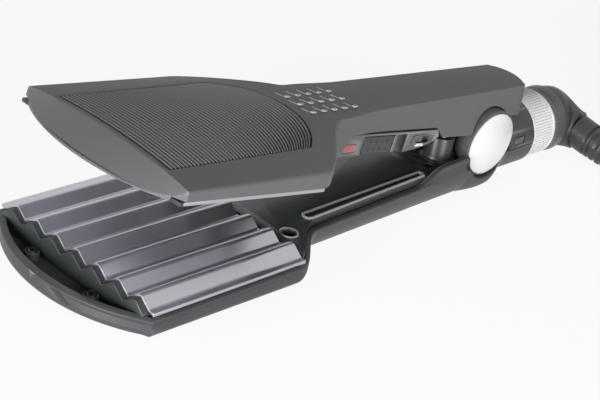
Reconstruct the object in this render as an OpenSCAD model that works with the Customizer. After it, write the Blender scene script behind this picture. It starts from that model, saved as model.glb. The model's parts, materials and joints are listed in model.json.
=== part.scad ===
// Hair crimper with wide zigzag plates, spring-opened jaws, a dial at the tail and a swivel cord.
// Millimetres. The origin is on the table, straight under the jaw hinge.
// +X runs from the jaws to the cord, +Z is up. The upper arm is drawn closed and then swung open.

/* [Crimp plates] */
// Length of each crimp plate along the tool
plate_len = 52.5; // [46:0.5:60]
// Width of each crimp plate over its edge flanges
plate_w = 59.4; // [54:0.2:66]
// Distance from one crest to the next
crest_pitch = 8; // [7:0.25:9]
// Height of a crest over the valley beside it
ridge_h = 2.45; // [1.8:0.05:3]
// Width of the flat on top of each crest
crest_flat = 1.2; // [0.6:0.1:2]
// Thickness of the folded plate sheet
sheet_t = 1; // [0.6:0.1:1.4]
// Height of the lower crests over the table
crest_h = 15.8; // [14.5:0.1:17]
// Gap left for hair between the flat parts of the closed plates
hair_gap = 1; // [0.8:0.1:1.6]

/* [Jaws] */
// Distance from the hinge to the rear ends of the plates
hinge_to_plates = 95.4; // [88:0.2:104]
// Height of the hinge over the table
hinge_h = 17.2; // [16.8:0.1:18]
// Angle between the arms when open
open_angle = 9.9; // [6:0.1:12]
// Casing beyond the plate flange on each side
casing_margin = 0.7; // [0.5:0.1:2]
// Wall of the casings
wall = 1.8; // [1.4:0.1:2.2]
// How far the lower nose bulges ahead of the plates
lower_nose = 11.7; // [9:0.1:14]
// How far the upper nose bulges ahead of the plates
upper_nose = 6.4; // [4.5:0.1:8]
// Length of the waist between the wide jaw and the handle
waist_len = 20.5; // [17:0.5:24]

/* [Lower arm] */
// Height of the casing rim over the table
rim_h = 11.3; // [10.8:0.1:11.8]
// Rise of the dark shoulder from the rim up to the inner wall
shoulder_h = 0.6; // [0.2:0.1:0.8]
// Height of the underside of the wide jaw over the table
jaw_floor_h = 6.3; // [5.6:0.1:6.8]
// Half width of the handle behind the waist
grip_half_w = 17.2; // [16:0.1:18.5]
// Half width of the handle at the hinge
hinge_half_w = 13.6; // [13.2:0.1:14.5]
// Height of the ears beside the hinge
ear_h = 15.6; // [14.8:0.1:16]
// Height of the black handle cover
cover_h = 13.4; // [13:0.1:13.8]
// Thickness of the handle covers
cover_t = 2; // [1.6:0.1:2.4]
// Length of the finger groove in the lower cover
groove_len = 48; // [36:1:54]

/* [Upper arm] */
// Height of the crowned casing top over the plate front, jaws closed
deck_front_h = 23; // [22.6:0.1:24]
// Rise of the casing top for each millimetre towards the tail
deck_slope = 0.0687; // [0.06:0.001:0.08]
// Drop from the middle of the casing top to its edge at the front
front_crown = 2.2; // [1.6:0.1:2.6]
// Drop from the middle of the casing top to its edge on the handle
grip_crown = 0.5; // [0.3:0.1:0.8]
// Half width of the handle top behind the waist
deck_half_w = 9.4; // [8.6:0.1:10.4]
// Half width of the handle top at the tail
tail_half_w = 7.7; // [7.2:0.1:8.4]
// Outward lean of the handle sides for each millimetre below the top edge
side_lean = 0.32; // [0.26:0.01:0.36]
// Length of the upper casing behind the hinge
tail_len = 17.6; // [16.5:0.1:18.5]
// Length of the ribbed heat pad
pad_len = 61; // [54:1:64]
// Thickness of the ribbed heat pad
pad_t = 0.75; // [0.6:0.05:0.85]
// Distance between vent slots along the handle
vent_pitch = 4.2; // [3.8:0.1:4.6]

/* [Hinge] */
// Radius of the hinge pin
pin_r = 3; // [2.5:0.1:3.5]
// Radius of the hub cheeks behind the discs
hub_r = 10.4; // [10:0.1:10.8]
// Radius of the pearl discs
disc_r = 9.4; // [8.8:0.1:9.8]
// Half width over the hub cheeks
hub_half_w = 12.3; // [12:0.1:12.6]
// Height of each disc's dome
disc_dome = 1.6; // [1:0.1:2.2]
// Half width of the knuckle between the cheeks
knuckle_half_w = 7; // [6.5:0.1:7.3]

/* [Controls] */
// Length of the power slider
slider_len = 14.4; // [13:0.2:15]
// Height of the power slider
slider_h = 5.6; // [5:0.1:5.8]
// Travel of the power slider
slider_travel = 3; // [2:0.1:3.4]
// Travel of the jaw lock
lock_travel = 3; // [2:0.1:3.4]
// Length of the red lamp lens
lens_len = 6.4; // [5.6:0.2:7]
// Height of the red lamp lens
lens_h = 2.6; // [2.2:0.1:2.9]

/* [Tail] */
// Height of the barrel axis over the table
barrel_h = 10.9; // [10.8:0.1:11.4]
// Outer radius of the barrel
barrel_r = 10.6; // [10.2:0.05:10.7]
// Distance from the hinge to the front of the dial
dial_x = 26.1; // [25:0.1:28]
// Width of the temperature dial
dial_w = 10.6; // [9:0.1:12]
// Outer radius of the dial over its ridges
dial_r = 10.35; // [10:0.05:10.6]
// Number of ridges round the dial
dial_ridges = 72; // [48:4:96]
// Width of the rear collar
collar_w = 5.9; // [5:0.1:7]
// Radius of the dial spindle
spindle_r = 8; // [7.6:0.1:8.3]

/* [Fits] */
// Radial clearance of the hinge pin and the other turning fits
turn_fit = 0.05; // [0.02:0.01:0.09]
// Gap between pieces that slide or swing past each other
move_gap = 0.4; // [0.35:0.05:0.5]
// Gap round pieces that are set into one another
set_gap = 0.15; // [0.05:0.05:0.25]

/* [Cord] */
// Diameter of the mains lead
cord_d = 6.5; // [6:0.1:7]
// Mean radius of the stored coil
coil_r = 39.4; // [38:0.2:41]

/* [Hidden] */

gunmetal = [0.33, 0.33, 0.35];
dark_gunmetal = [0.24, 0.24, 0.26];
cover_black = [0.11, 0.13, 0.13];
plate_silver = [0.78, 0.77, 0.8];
pearl = [0.93, 0.93, 0.93];

smooth_fn = 64;

// Places along the tool, worked out from the driving sizes
plate_rear_x = -hinge_to_plates;
plate_front_x = plate_rear_x - plate_len;
plate_mid_x = plate_rear_x - plate_len / 2;
jaw_half_w = plate_w / 2 + casing_margin;
waist_front_x = plate_rear_x - 2;
waist_rear_x = waist_front_x + waist_len;
notch_r = hub_r + move_gap / 2;
arch_r = hub_r + 1;
barrel_front_x = notch_r + move_gap;
barrel_back_x = dial_x - move_gap;
dial_back_x = dial_x + dial_w;
collar_x = dial_back_x + move_gap;
collar_back_x = collar_x + collar_w;

// Heights of the plates
valley_h = crest_h - ridge_h;
upper_base_h = crest_h + hair_gap;
jaw_inner_floor = jaw_floor_h + wall;
upper_rim_h = upper_base_h + sheet_t + 0.3;

// ---- Shared functions and modules ----

// Moves gently from a to b while x passes from x0 to x1
function ease(x, x0, x1, a, b) =
    let (u = min(1, max(0, (x - x0) / (x1 - x0))))
    a + (b - a) * u * u * (3 - 2 * u);

// Straight line from a at x0 to b at x1
function line_at(x, x0, x1, a, b) = a + (b - a) * (x - x0) / (x1 - x0);

// n values from a up to but not including b
function steps(a, b, n) = [for (i = [0:n - 1]) a + (b - a) * i / n];

// Half width of an arc nose of radius r centred at cx
function arc_half_w(x, cx, r) = sqrt(max(9, r * r - (x - cx) * (x - cx)));

// Radius of the arc through both jaw corners that bulges by depth
function nose_radius(half_w, depth) = (half_w * half_w + depth * depth) / (2 * depth);

// Triangles across a section of n points whose first part is one skin and the rest the other
function strip(first, n) =
    let (
        rest = n - first,
        facing = [for (i = [0:first - 1]) n - 1 - round(i * (rest - 1) / (first - 1))]
    )
    [
        for (i = [0:first - 2])
            each concat(
                [[i, i + 1, facing[i]]],
                [for (j = [facing[i]:-1:facing[i + 1] + 1]) [i + 1, j - 1, j]]
            )
    ];

// Skins a list of rings, each with as many points, into one closed solid.
// A ring that runs along one skin and back along another gives the first skin's count in split.
module loft(rings, split = 0) {
    n = len(rings[0]);
    m = len(rings);
    sides = [
        for (i = [0:m - 2], j = [0:n - 1])
            let (a = i * n + j, b = i * n + (j + 1) % n)
            each [[a, b, a + n], [b, b + n, a + n]]
    ];
    caps = split > 0 ? strip(split, n) : [[for (j = [0:n - 1]) j]];
    first = [for (c = caps) reversed(c)];
    last = [for (c = caps) [for (j = c) (m - 1) * n + j]];
    polyhedron([for (r = rings) each r], concat(first, sides, last));
}

// Stands a profile in Y and Z up and runs it along X from x0 for len
module along_x(x0, len) {
    translate([x0, 0, 0]) rotate([90, 0, 90]) linear_extrude(len) children();
}

// Lays a profile in X and Z across the tool, y0 to y0 + len
module across_y(y0, len) {
    translate([0, y0 + len, 0]) rotate([90, 0, 0]) linear_extrude(len) children();
}

// Cylinder along Y between two places
module y_cylinder(r, y0, y1, x = 0, z = 0) {
    translate([x, y1, z]) rotate([90, 0, 0]) cylinder(r = r, h = y1 - y0, $fn = smooth_fn);
}

// Cylinder along X between two places, on the barrel axis
module barrel_cylinder(r, x0, x1) {
    translate([x0, 0, barrel_h]) rotate([0, 90, 0]) cylinder(r = r, h = x1 - x0, $fn = smooth_fn);
}

// Box from its lowest corner to its highest
module span(low, high) {
    translate(low) cube(high - low);
}

// Swings the upper arm from the closed position to the open one
module open_pose() {
    translate([0, 0, hinge_h]) rotate([0, open_angle, 0]) translate([0, 0, -hinge_h]) children();
}

// ---- Crimp plates ----

crest_side = 2 * floor((plate_w / 2 - crest_pitch / 2) / crest_pitch) + 1;
crest_reach = (crest_side - 1) / 2 * crest_pitch;

// Top line of a zigzag with count crests, from one flange edge to the other
function zigzag(count, base, peak, half_w) =
    let (reach = (count - 1) / 2 * crest_pitch)
    concat(
        [[-half_w, base], [-reach - crest_pitch / 2, base]],
        [
            for (i = [0:count - 1])
                let (y = -reach + i * crest_pitch)
                each concat(
                    [[y - crest_flat / 2, peak], [y + crest_flat / 2, peak]],
                    [[y + crest_pitch / 2, base]]
                )
        ],
        [[half_w, base]]
    );

function shifted(line, dz) = [for (p = line) [p[0], p[1] + dz]];
function reversed(list) = [for (i = [len(list) - 1:-1:0]) list[i]];

lower_line = zigzag(crest_side, valley_h, crest_h, plate_w / 2);
upper_line = zigzag(crest_side - 1, upper_base_h, upper_base_h - ridge_h, plate_w / 2);

module lower_crimp_plate() {
    color(plate_silver) along_x(plate_front_x, plate_len)
        polygon(concat(lower_line, reversed(shifted(lower_line, -sheet_t))));
}

module upper_crimp_plate() {
    color(plate_silver) open_pose() along_x(plate_front_x, plate_len)
        polygon(concat(upper_line, reversed(shifted(upper_line, sheet_t))));
}

holder_half_w = jaw_half_w - wall - 1;
heater_len = 36;
heater_half_w = 17;
heater_t = 2.4;
heater_x = plate_mid_x - heater_len / 2;
lower_seat = shifted(lower_line, -sheet_t);
upper_seat = shifted(upper_line, sheet_t);
upper_holder_top = upper_base_h + sheet_t + 1.2;
holder_lip = 1.6;

// Points of a line that lie within half_w, closed off at its ends
function inside_line(line, half_w, base) =
    concat([[-half_w, base]], [for (p = line) if (abs(p[0]) < half_w) p], [[half_w, base]]);

module heater_window(x0, x1, half_w, z0, z1) {
    span([x0 - set_gap, -half_w - set_gap, z0], [x1 + set_gap, half_w + set_gap, z1]);
}

module lower_plate_holder() {
    color(cover_black) {
        difference() {
            along_x(plate_front_x - holder_lip, plate_len + holder_lip)
                polygon(concat(
                    inside_line(lower_seat, holder_half_w, valley_h - sheet_t),
                    [[holder_half_w, jaw_inner_floor], [-holder_half_w, jaw_inner_floor]]
                ));
            heater_window(heater_x, heater_x + heater_len, heater_half_w, jaw_inner_floor - 1, crest_h);
        }
    }
}

module lower_heater() {
    color("white") span(
        [heater_x, -heater_half_w, valley_h - sheet_t - heater_t],
        [heater_x + heater_len, heater_half_w, valley_h - sheet_t]
    );
}

module lower_insulator() {
    color([0.75, 0.68, 0.5]) span(
        [heater_x, -heater_half_w, jaw_inner_floor],
        [heater_x + heater_len, heater_half_w, valley_h - sheet_t - heater_t]
    );
}

module upper_plate_holder() {
    color(cover_black) open_pose() {
        difference() {
            intersection() {
                along_x(plate_front_x, plate_len)
                    polygon(concat(
                        inside_line(upper_seat, holder_half_w, upper_base_h + sheet_t),
                        [[holder_half_w, upper_holder_top], [-holder_half_w, upper_holder_top]]
                    ));
                translate([upper_nose_cx, 0, 0]) cylinder(r = upper_nose_r - 4, h = 40, $fn = 128);
            }
            heater_window(heater_x, heater_x + heater_len, heater_half_w,
                upper_base_h - ridge_h, upper_holder_top + 1);
        }
    }
}

module upper_heater() {
    color("white") open_pose() span(
        [heater_x, -heater_half_w, upper_base_h + sheet_t],
        [heater_x + heater_len, heater_half_w, upper_base_h + sheet_t + heater_t]
    );
}

module upper_insulator() {
    color([0.75, 0.68, 0.5]) open_pose() span(
        [heater_x, -heater_half_w, upper_base_h + sheet_t + heater_t],
        [heater_x + heater_len, heater_half_w, upper_base_h + sheet_t + heater_t + 0.6]
    );
}

// ---- Lower casing ----

lower_nose_r = nose_radius(jaw_half_w, lower_nose);
lower_nose_cx = plate_front_x - lower_nose + lower_nose_r;
nose_edge_r = 1.6;
arc_steps = 6;
skin_step = 0.3;

function grip_w(x) = line_at(x, waist_rear_x, 0, grip_half_w, hinge_half_w);

function lower_w(x) =
    x < plate_front_x ? arc_half_w(x, lower_nose_cx, lower_nose_r)
    : x < 2 ? ease(x, waist_front_x, waist_rear_x, jaw_half_w, grip_w(max(x, waist_rear_x)))
    : ease(x, 2, barrel_front_x + 3, grip_w(2), barrel_r);

function lower_inner_w(x) =
    x < plate_front_x ? min(jaw_half_w - wall, arc_half_w(x, lower_nose_cx, lower_nose_r - wall))
    : lower_w(x) - wall;

// Lowest line of the round notch that holds the hinge hub
function notch_z(x) = abs(x) < notch_r ? hinge_h - sqrt(notch_r * notch_r - x * x) : hinge_h;

ear_rise_x = -34;
ear_top_x = -22;

function lower_rim(x) =
    min(notch_z(x), x < 0 ? ease(x, ear_rise_x, ear_top_x, rim_h, ear_h)
                          : ease(x, 4, 8, ear_h, barrel_h));

function lower_floor(x) =
    x < plate_front_x - lower_nose + nose_edge_r
        ? let (d = 1 - (x - plate_front_x + lower_nose) / nose_edge_r)
            jaw_floor_h + nose_edge_r * (1 - sqrt(max(0, 1 - d * d)))
        : x < 0 ? ease(x, waist_front_x, waist_rear_x + 4, jaw_floor_h, 0)
                : ease(x, 4, barrel_front_x + 3, 0, barrel_h - barrel_r);

jaw_edge_r = 2.2;

// Width and height of the round lower edge at x
function edge_w(x) =
    x < 0 ? ease(x, waist_front_x, waist_rear_x, jaw_edge_r, grip_w(max(x, waist_rear_x)) - 4.4)
          : ease(x, 0, barrel_front_x + 3, grip_w(0) - 4.4, barrel_r - 0.2);
function edge_h(x) =
    min(lower_rim(x) - lower_floor(x) - 0.4,
        x < 0 ? ease(x, waist_front_x, waist_rear_x, jaw_edge_r, rim_h - 0.1)
              : ease(x, 0, barrel_front_x + 3, rim_h - 0.1, barrel_r - 0.2));

// Half of a tub section: rim, side, round lower edge, bottom centre
function tub_half(w, rim, floor_z, rw, rh) =
    let (r = min(rw, w - 0.2), h = min(rh, max(0, rim - floor_z)))
    concat(
        [[w, rim]],
        [for (t = [0:22.5:90]) [w - r + r * cos(t), floor_z + h - h * sin(t)]],
        [[0, floor_z]]
    );

function mirrored(half) =
    concat(half, [for (i = [len(half) - 2:-1:0]) [-half[i][0], half[i][1]]]);

// Shallow crease of n points that stands for the inner skin where a casing is solid
function closed_half(w, z, depth, n) =
    [for (i = [0:n - 1]) let (u = 0.8 * (1 - i / (n - 1))) [w * u, z + depth * (1 - u) * (1 - u)]];

// Closed section of the tub at x: outer skin, then inner skin back
function tub_ring(x) =
    let (
        w = lower_w(x),
        rim = lower_rim(x),
        open = x > plate_front_x - lower_nose + wall,
        lift = open && x < waist_rear_x ? shoulder_h * min(1, (waist_rear_x - x) / 8) : 0,
        outer = tub_half(w, rim, lower_floor(x), edge_w(x), edge_h(x)),
        inner = open
            ? tub_half(lower_inner_w(x), rim + lift, lower_floor(x) + wall,
                max(0.4, edge_w(x) - wall), max(0.2, edge_h(x) - wall))
            : closed_half(w, rim, -2 * skin_step, len(outer))
    )
    [for (p = concat(mirrored(outer), reversed(mirrored(inner)))) [x, p[0], p[1]]];

lower_stations = concat(
    [for (a = [0:arc_steps - 1])
        lower_nose_cx - lower_nose_r * cos(a / arc_steps * asin(jaw_half_w / lower_nose_r))],
    [plate_front_x - lower_nose + wall, plate_front_x - lower_nose + wall + skin_step],
    [plate_front_x],
    steps(waist_front_x, waist_rear_x + 4, 10),
    steps(waist_rear_x + 4, ear_rise_x, 3),
    steps(ear_rise_x, ear_top_x, 5),
    [ear_top_x, -notch_r - 0.6],
    [for (a = [90:-15:-90]) -notch_r * sin(a)],
    [barrel_front_x + 1.5, barrel_front_x + 3, barrel_back_x]
);

// The list in rising order
function sorted(list) =
    len(list) < 2 ? list
    : let (
        pivot = list[floor(len(list) / 2)],
        low = [for (v = list) if (v < pivot - 0.001) v],
        high = [for (v = list) if (v > pivot + 0.001) v]
    ) concat(sorted(low), [pivot], sorted(high));

module lower_casing() {
    color(gunmetal) loft([for (x = sorted(lower_stations)) tub_ring(x)], 13);
}

// ---- Lower handle cover ----

cover_front_x = plate_rear_x + 1;
cover_back_x = -notch_r - 0.8;
spring_x = -15.5;
spring_y = -5.5;
boss_r = 4.1;
boss_t = 1.2;
boss_h = 7.2;
recess_x = cover_front_x + 5;
recess_y = 17.3;
recess_r = 2.2;
screw_r = 1.5;
rear_screw_x = -20.5;
rear_screw_y = 8.4;

// Outline of the lower cover, half a wall inside the casing
function cover_half_w(x) = lower_inner_w(x) - set_gap;
cover_xs = concat([cover_front_x], steps(waist_front_x + 4, waist_rear_x + 2, 8),
    steps(waist_rear_x + 2, ear_top_x, 4), [ear_top_x, cover_back_x]);
cover_side = [for (x = cover_xs) if (x >= cover_front_x) [x, cover_half_w(x)]];

module groove_outline(w) {
    hull() {
        circle(d = w, $fn = 32);
        translate([groove_len, 1.8]) circle(d = w * 0.7, $fn = 32);
    }
}

module lower_inner_cover() {
    color(cover_black) {
        difference() {
            union() {
                translate([0, 0, cover_h - cover_t]) linear_extrude(cover_t)
                    polygon(concat(cover_side, reversed([for (p = cover_side) [p[0], -p[1]]])));
                translate([spring_x, spring_y, cover_h - 0.1])
                    cylinder(r = boss_r, h = boss_h + 0.1, $fn = smooth_fn);
                for (x = [waist_rear_x + 6, rear_screw_x - 12])
                    translate([x, 0, wall]) cylinder(r = 3, h = cover_h - cover_t - wall + 0.1,
                        $fn = smooth_fn);
            }
            translate([spring_x, spring_y, cover_h])
                cylinder(r = boss_r - boss_t, h = boss_h + 1, $fn = smooth_fn);
            for (s = [-1, 1]) {
                translate([waist_rear_x - 1, s * (grip_half_w - 4), cover_h - 1])
                    mirror([0, s > 0 ? 1 : 0, 0]) linear_extrude(2) groove_outline(2.4);
                translate([recess_x, s * recess_y, cover_h - cover_t - 1])
                    cylinder(r = recess_r, h = cover_t + 2, $fn = smooth_fn);
                for (dx = [-2.2, 2.2])
                    translate([rear_screw_x + dx, s * rear_screw_y, cover_h - cover_t - 1])
                        cylinder(r = screw_r + set_gap, h = cover_t + 2, $fn = smooth_fn);
            }
        }
    }
}

module cover_screws() {
    color("dimgray")
        for (s = [-1, 1]) {
            translate([recess_x, s * recess_y, cover_h - cover_t])
                cylinder(r = recess_r, h = 1, $fn = smooth_fn);
            for (dx = [-2.2, 2.2])
                translate([rear_screw_x + dx, s * rear_screw_y, cover_h - cover_t])
                    cylinder(r = screw_r + set_gap, h = cover_t - 0.5, $fn = smooth_fn);
        }
}

nose_screw_x = plate_front_x - 4;
nose_screw_y = 11.6;
nose_post_h = 2;

module nose_screws() {
    color("dimgray")
        for (s = [-1, 1])
            translate([nose_screw_x, s * nose_screw_y, jaw_inner_floor]) {
                cylinder(r = 2, h = nose_post_h, $fn = smooth_fn);
                translate([0, 0, nose_post_h - 0.01]) cylinder(r = 1.5, h = 0.6, $fn = smooth_fn);
            }
}

// ---- Hinge ----

cheek_t = hub_half_w - knuckle_half_w - move_gap;

module hinge_carrier() {
    color(dark_gunmetal) difference() {
        union() {
            for (s = [-1, 1])
                y_cylinder(hub_r, s > 0 ? hub_half_w - cheek_t : -hub_half_w,
                    s > 0 ? hub_half_w : -hub_half_w + cheek_t, 0, hinge_h);
            span([-5, -knuckle_half_w - move_gap - 0.1, hinge_h - hub_r + 0.4],
                [5, knuckle_half_w + move_gap + 0.1, hinge_h - hub_r + 1.4]);
            span([-5, -4, wall], [5, 4, hinge_h - hub_r + 0.5]);
        }
        y_cylinder(pin_r, -hub_half_w - 1, hub_half_w + 1, 0, hinge_h);
    }
}

module hinge_pin() {
    color("silver") y_cylinder(pin_r, -hub_half_w, hub_half_w, 0, hinge_h);
}

dome_r = (disc_r * disc_r + disc_dome * disc_dome) / (2 * disc_dome);
disc_rim = 0.6;

module pearl_disc() {
    rotate_extrude($fn = 96) intersection() {
        translate([0, disc_rim + disc_dome - dome_r]) circle(r = dome_r, $fn = 360);
        square([disc_r, disc_rim + disc_dome]);
    }
}

module hinge_disc_near() {
    color(pearl) translate([0, -hub_half_w, hinge_h]) rotate([90, 0, 0]) pearl_disc();
}

module hinge_disc_far() {
    color(pearl) translate([0, hub_half_w, hinge_h]) rotate([-90, 0, 0]) pearl_disc();
}

knuckle_r = 7.4;

module hinge_knuckle() {
    color(dark_gunmetal) open_pose() difference() {
        union() {
            y_cylinder(knuckle_r, -knuckle_half_w, knuckle_half_w, 0, hinge_h);
            span([-4, -knuckle_half_w + 2, hinge_h + 4], [4, knuckle_half_w - 2, deck_inner_h(-4) - 1]);
            span([-hub_r - 1, -knuckle_half_w, spring_seat_h], [-4, knuckle_half_w, spring_seat_h + 1.6]);
            span([spring_x - spring_r - 1.5, spring_y - spring_r - 1, spring_seat_h],
                [-hub_r - 0.9, knuckle_half_w, spring_seat_h + 1.6]);
        }
        y_cylinder(pin_r + turn_fit, -knuckle_half_w - 1, knuckle_half_w + 1, 0, hinge_h);
    }
}

spring_d = 1.2;
spring_gap = 0.4;
spring_r = boss_r - boss_t - spring_gap - spring_d / 2;
spring_turns = 4;
spring_seat_h = cover_h + boss_h + 0.7;
spring_top = hinge_h + (spring_seat_h - hinge_h) * cos(open_angle)
    + (-spring_x - spring_r - spring_d) * sin(open_angle);

// Thin closed sleeve with grooves that stands for the coils of the opening spring
module opening_spring() {
    pitch = (spring_top - cover_h) / spring_turns;
    color("silver") translate([spring_x, spring_y, cover_h]) difference() {
        cylinder(r = spring_r + spring_d / 2, h = spring_top - cover_h, $fn = 48);
        translate([0, 0, -1]) cylinder(r = spring_r - spring_d / 2, h = spring_top, $fn = 48);
        for (i = [0:spring_turns - 1])
            translate([0, 0, pitch * (i + 0.5)]) difference() {
                cylinder(r = spring_r + spring_d, h = pitch * 0.4, $fn = 48);
                translate([0, 0, -1]) cylinder(r = spring_r - spring_d / 4, h = pitch, $fn = 48);
            }
    }
}

// ---- Tail ----

pot_r = 5;
socket_r = 5;
spindle_front_x = barrel_front_x + 2;
spindle_flange_x = barrel_back_x - 3;

module barrel_shell() {
    color(gunmetal) difference() {
        barrel_cylinder(barrel_r, barrel_front_x + 3, barrel_back_x);
        barrel_cylinder(barrel_r - wall, barrel_front_x + 2, barrel_back_x + 1);
        span([-5, -2 * barrel_r, -5], [barrel_back_x + 5, 2 * barrel_r, barrel_h]);
        for (s = [-1, 1])
            span([barrel_front_x + 5.5, s * barrel_r - 1.3, barrel_h + 0.6],
                [barrel_front_x + 10, s * barrel_r + 1.3, barrel_h + 3.4]);
    }
}

module tail_spindle() {
    color("dimgray") difference() {
        union() {
            barrel_cylinder(barrel_r - wall - 0.4, spindle_flange_x, barrel_back_x);
            barrel_cylinder(spindle_r, barrel_back_x - 0.1, collar_back_x - 1);
        }
        barrel_cylinder(socket_r, spindle_flange_x - 1, collar_back_x + 1);
    }
}

module thermostat_pot() {
    color([0.2, 0.35, 0.25]) difference() {
        barrel_cylinder(barrel_r - wall - 0.6, spindle_flange_x - 7, spindle_flange_x);
        barrel_cylinder(pot_r, spindle_flange_x - 8, spindle_flange_x + 1);
    }
}

ridge_depth = 0.28;

module temperature_dial() {
    color(pearl) difference() {
        translate([dial_x, 0, barrel_h]) rotate([90, 0, 90]) linear_extrude(dial_w)
            polygon([
                for (i = [0:2 * dial_ridges - 1])
                    let (a = i * 180 / dial_ridges, r = dial_r - ridge_depth * (i % 2))
                    [r * cos(a), r * sin(a)]
            ]);
        barrel_cylinder(spindle_r + turn_fit, dial_x - 1, dial_back_x + 1);
    }
}

collar_front_r = 10.2;
collar_rear_r = 10.45;
swivel_bore_r = 7.6;

module rear_collar() {
    color(dark_gunmetal) translate([collar_x, 0, barrel_h]) rotate([0, 90, 0]) rotate_extrude($fn = 96)
        polygon([
            [spindle_r, 0], [collar_front_r, 0], [collar_rear_r, collar_w - 0.8],
            [collar_rear_r - 0.5, collar_w], [swivel_bore_r, collar_w], [swivel_bore_r, collar_w - 1],
            [spindle_r, collar_w - 1]
        ]);
}

// ---- Upper casing, drawn with the jaws closed ----

upper_nose_r = nose_radius(jaw_half_w - 0.7, upper_nose - 0.4);
upper_top_x = plate_front_x + 1.5;
upper_nose_cx = plate_front_x - upper_nose + upper_nose_r;
lip_h = hinge_h - 0.9;
lip_step = 0.2;
upper_grip_x = waist_rear_x + 5;
panel_front_x = waist_rear_x + 2.5;
panel_rise_x = panel_front_x + 8;
panel_back_x = panel_front_x + 46;
panel_top_h = 23;
side_low_h = 20.2;
tail_corner_x = tail_len - 5.2;
tail_low_h = 25.1;
tail_r = nose_radius(tail_half_w + 3, 5.2);

function deck_h(x) = deck_front_h + deck_slope * (x - upper_top_x);
function deck_inner_h(x) = deck_h(x) - wall;

function crease_w(x) =
    x < waist_front_x + 26 ? ease(x, waist_front_x, waist_front_x + 26, jaw_half_w - 0.2, deck_half_w + 1.8)
    : x < waist_front_x + 45 ? ease(x, waist_front_x + 26, waist_front_x + 45, deck_half_w + 1.8, deck_half_w)
    : line_at(x, waist_front_x + 45, tail_len, deck_half_w, tail_half_w);

function crease_h(x) =
    x < waist_front_x
        ? line_at(x, upper_top_x, waist_front_x, deck_front_h - front_crown, deck_h(waist_front_x) - 4)
    : ease(x, waist_front_x, waist_rear_x + 2, deck_h(waist_front_x) - 4, deck_h(waist_rear_x + 2) - grip_crown)
        + (x > waist_rear_x + 2 ? deck_h(x) - deck_h(waist_rear_x + 2) : 0);

function lean(x) = ease(x, waist_front_x + 4, waist_front_x + 28, 0.04, side_lean);
function low_w(x) = crease_w(x) + lean(x) * (crease_h(x) - upper_low(x));

function upper_low(x) =
    let (
        jaw = x < plate_front_x - 0.3 ? lip_h
            : ease(x, waist_rear_x - 6, waist_rear_x, upper_rim_h, upper_rim_h - 0.7),
        grip = x < panel_rise_x ? ease(x, panel_front_x, panel_rise_x, jaw, panel_top_h)
            : ease(x, panel_back_x, panel_back_x + 4, panel_top_h, side_low_h),
        arch = abs(x) < arch_r ? hinge_h + sqrt(arch_r * arch_r - x * x) : 0
    )
    max(arch, x > 0 ? tail_low_h : grip);

// Height of the crowned top, inset below the skin
function deck_at(x, y, inset) =
    let (u = min(1, abs(y) / crease_w(x)))
    deck_h(x) - (deck_h(x) - crease_h(x)) * pow(u, 2.2) - inset;

// Half width of the ribbed pad at x
function pad_w(x) =
    x < pad_corner_x ? line_at(x, pad_x, pad_corner_x, pad_front_w, pad_rear_w)
                     : arc_half_w(x, pad_back_x - pad_arc_r, pad_arc_r);
function pad_depth(x) = x > pad_x - 0.1 && x < pad_back_x + 0.1 ? pad_recess : 0;

// Right half of the outer skin: side, rounded edge, rim of the pad, floor of its recess
function outer_skin(x) =
    let (cw = crease_w(x), ch = crease_h(x), low = upper_low(x), lw = low_w(x), pw = min(pad_w(x), cw - 1.6))
    concat(
        [[lw, low], [(lw + cw) / 2, (low + ch) / 2 - 0.2], [cw + 0.1, ch - 0.7], [cw - 0.5, ch - 0.05]],
        [for (y = [(cw + pw) / 2, pw + 0.5]) [y, deck_at(x, y, 0)]],
        [for (u = [1, 0.66, 0.33, 0]) [pw * u, deck_at(x, pw * u, pad_depth(x))]]
    );

// Right half of the inner skin
function inner_skin(x) =
    let (cw = crease_w(x) - wall, ch = crease_h(x) - wall, low = upper_low(x), lw = low_w(x) - wall)
    [
        [lw, low], [(lw + cw) / 2, low + (ch - low) * 0.5], [cw, ch],
        [cw * 0.66, deck_at(x, cw * 0.66, wall)], [cw * 0.33, deck_at(x, cw * 0.33, wall)],
        [0, deck_at(x, 0, wall)]
    ];

// Front face: a skin at the top edge pulled down to the curved lip
function pulled_down(x, skin) =
    let (w = arc_half_w(x, upper_nose_cx, upper_nose_r) / arc_half_w(upper_top_x, upper_nose_cx, upper_nose_r))
    [
        for (i = [0:len(skin) - 1])
            let (
                y = skin[i][0] * w,
                lip_x = upper_nose_cx - sqrt(max(0, upper_nose_r * upper_nose_r - y * y)),
                f = min(1, max(0, (x - lip_x) / (upper_top_x - lip_x)))
            )
            [y, max(upper_low(x) + lip_step * i, lip_h + (skin[i][1] - lip_h) * f)]
    ];

// Keeps a half section inside the rounded tail
function clipped(half, w) =
    [for (i = [0:len(half) - 1]) [min(half[i][0], w * (1 - 0.03 * i)), half[i][1]]];

function casing_ring(x) =
    let (
        tail = x > tail_corner_x ? arc_half_w(x, tail_len - tail_r, tail_r) : 99,
        nose = x < upper_top_x,
        outer = clipped(nose ? pulled_down(x, outer_skin(upper_top_x)) : outer_skin(x), tail),
        inner = clipped(nose ? pulled_down(x, inner_skin(upper_top_x)) : inner_skin(x), tail - wall),
        solid = x < plate_front_x - upper_nose + wall + 0.5 || x > tail_len - wall - skin_step,
        inside = solid ? closed_half(outer[0][0], upper_low(x), 2 * skin_step, len(inner)) : inner
    )
    [for (p = concat(mirrored(inside), reversed(mirrored(outer)))) [x, p[0], p[1]]];

pad_x = upper_top_x + 1.5;
pad_back_x = pad_x + pad_len;
pad_front_w = 20.8;
pad_rear_w = 20;
pad_arc = 10;
pad_arc_r = nose_radius(pad_rear_w, pad_arc);
pad_corner_x = pad_back_x - pad_arc;
pad_recess = 0.9;

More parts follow.
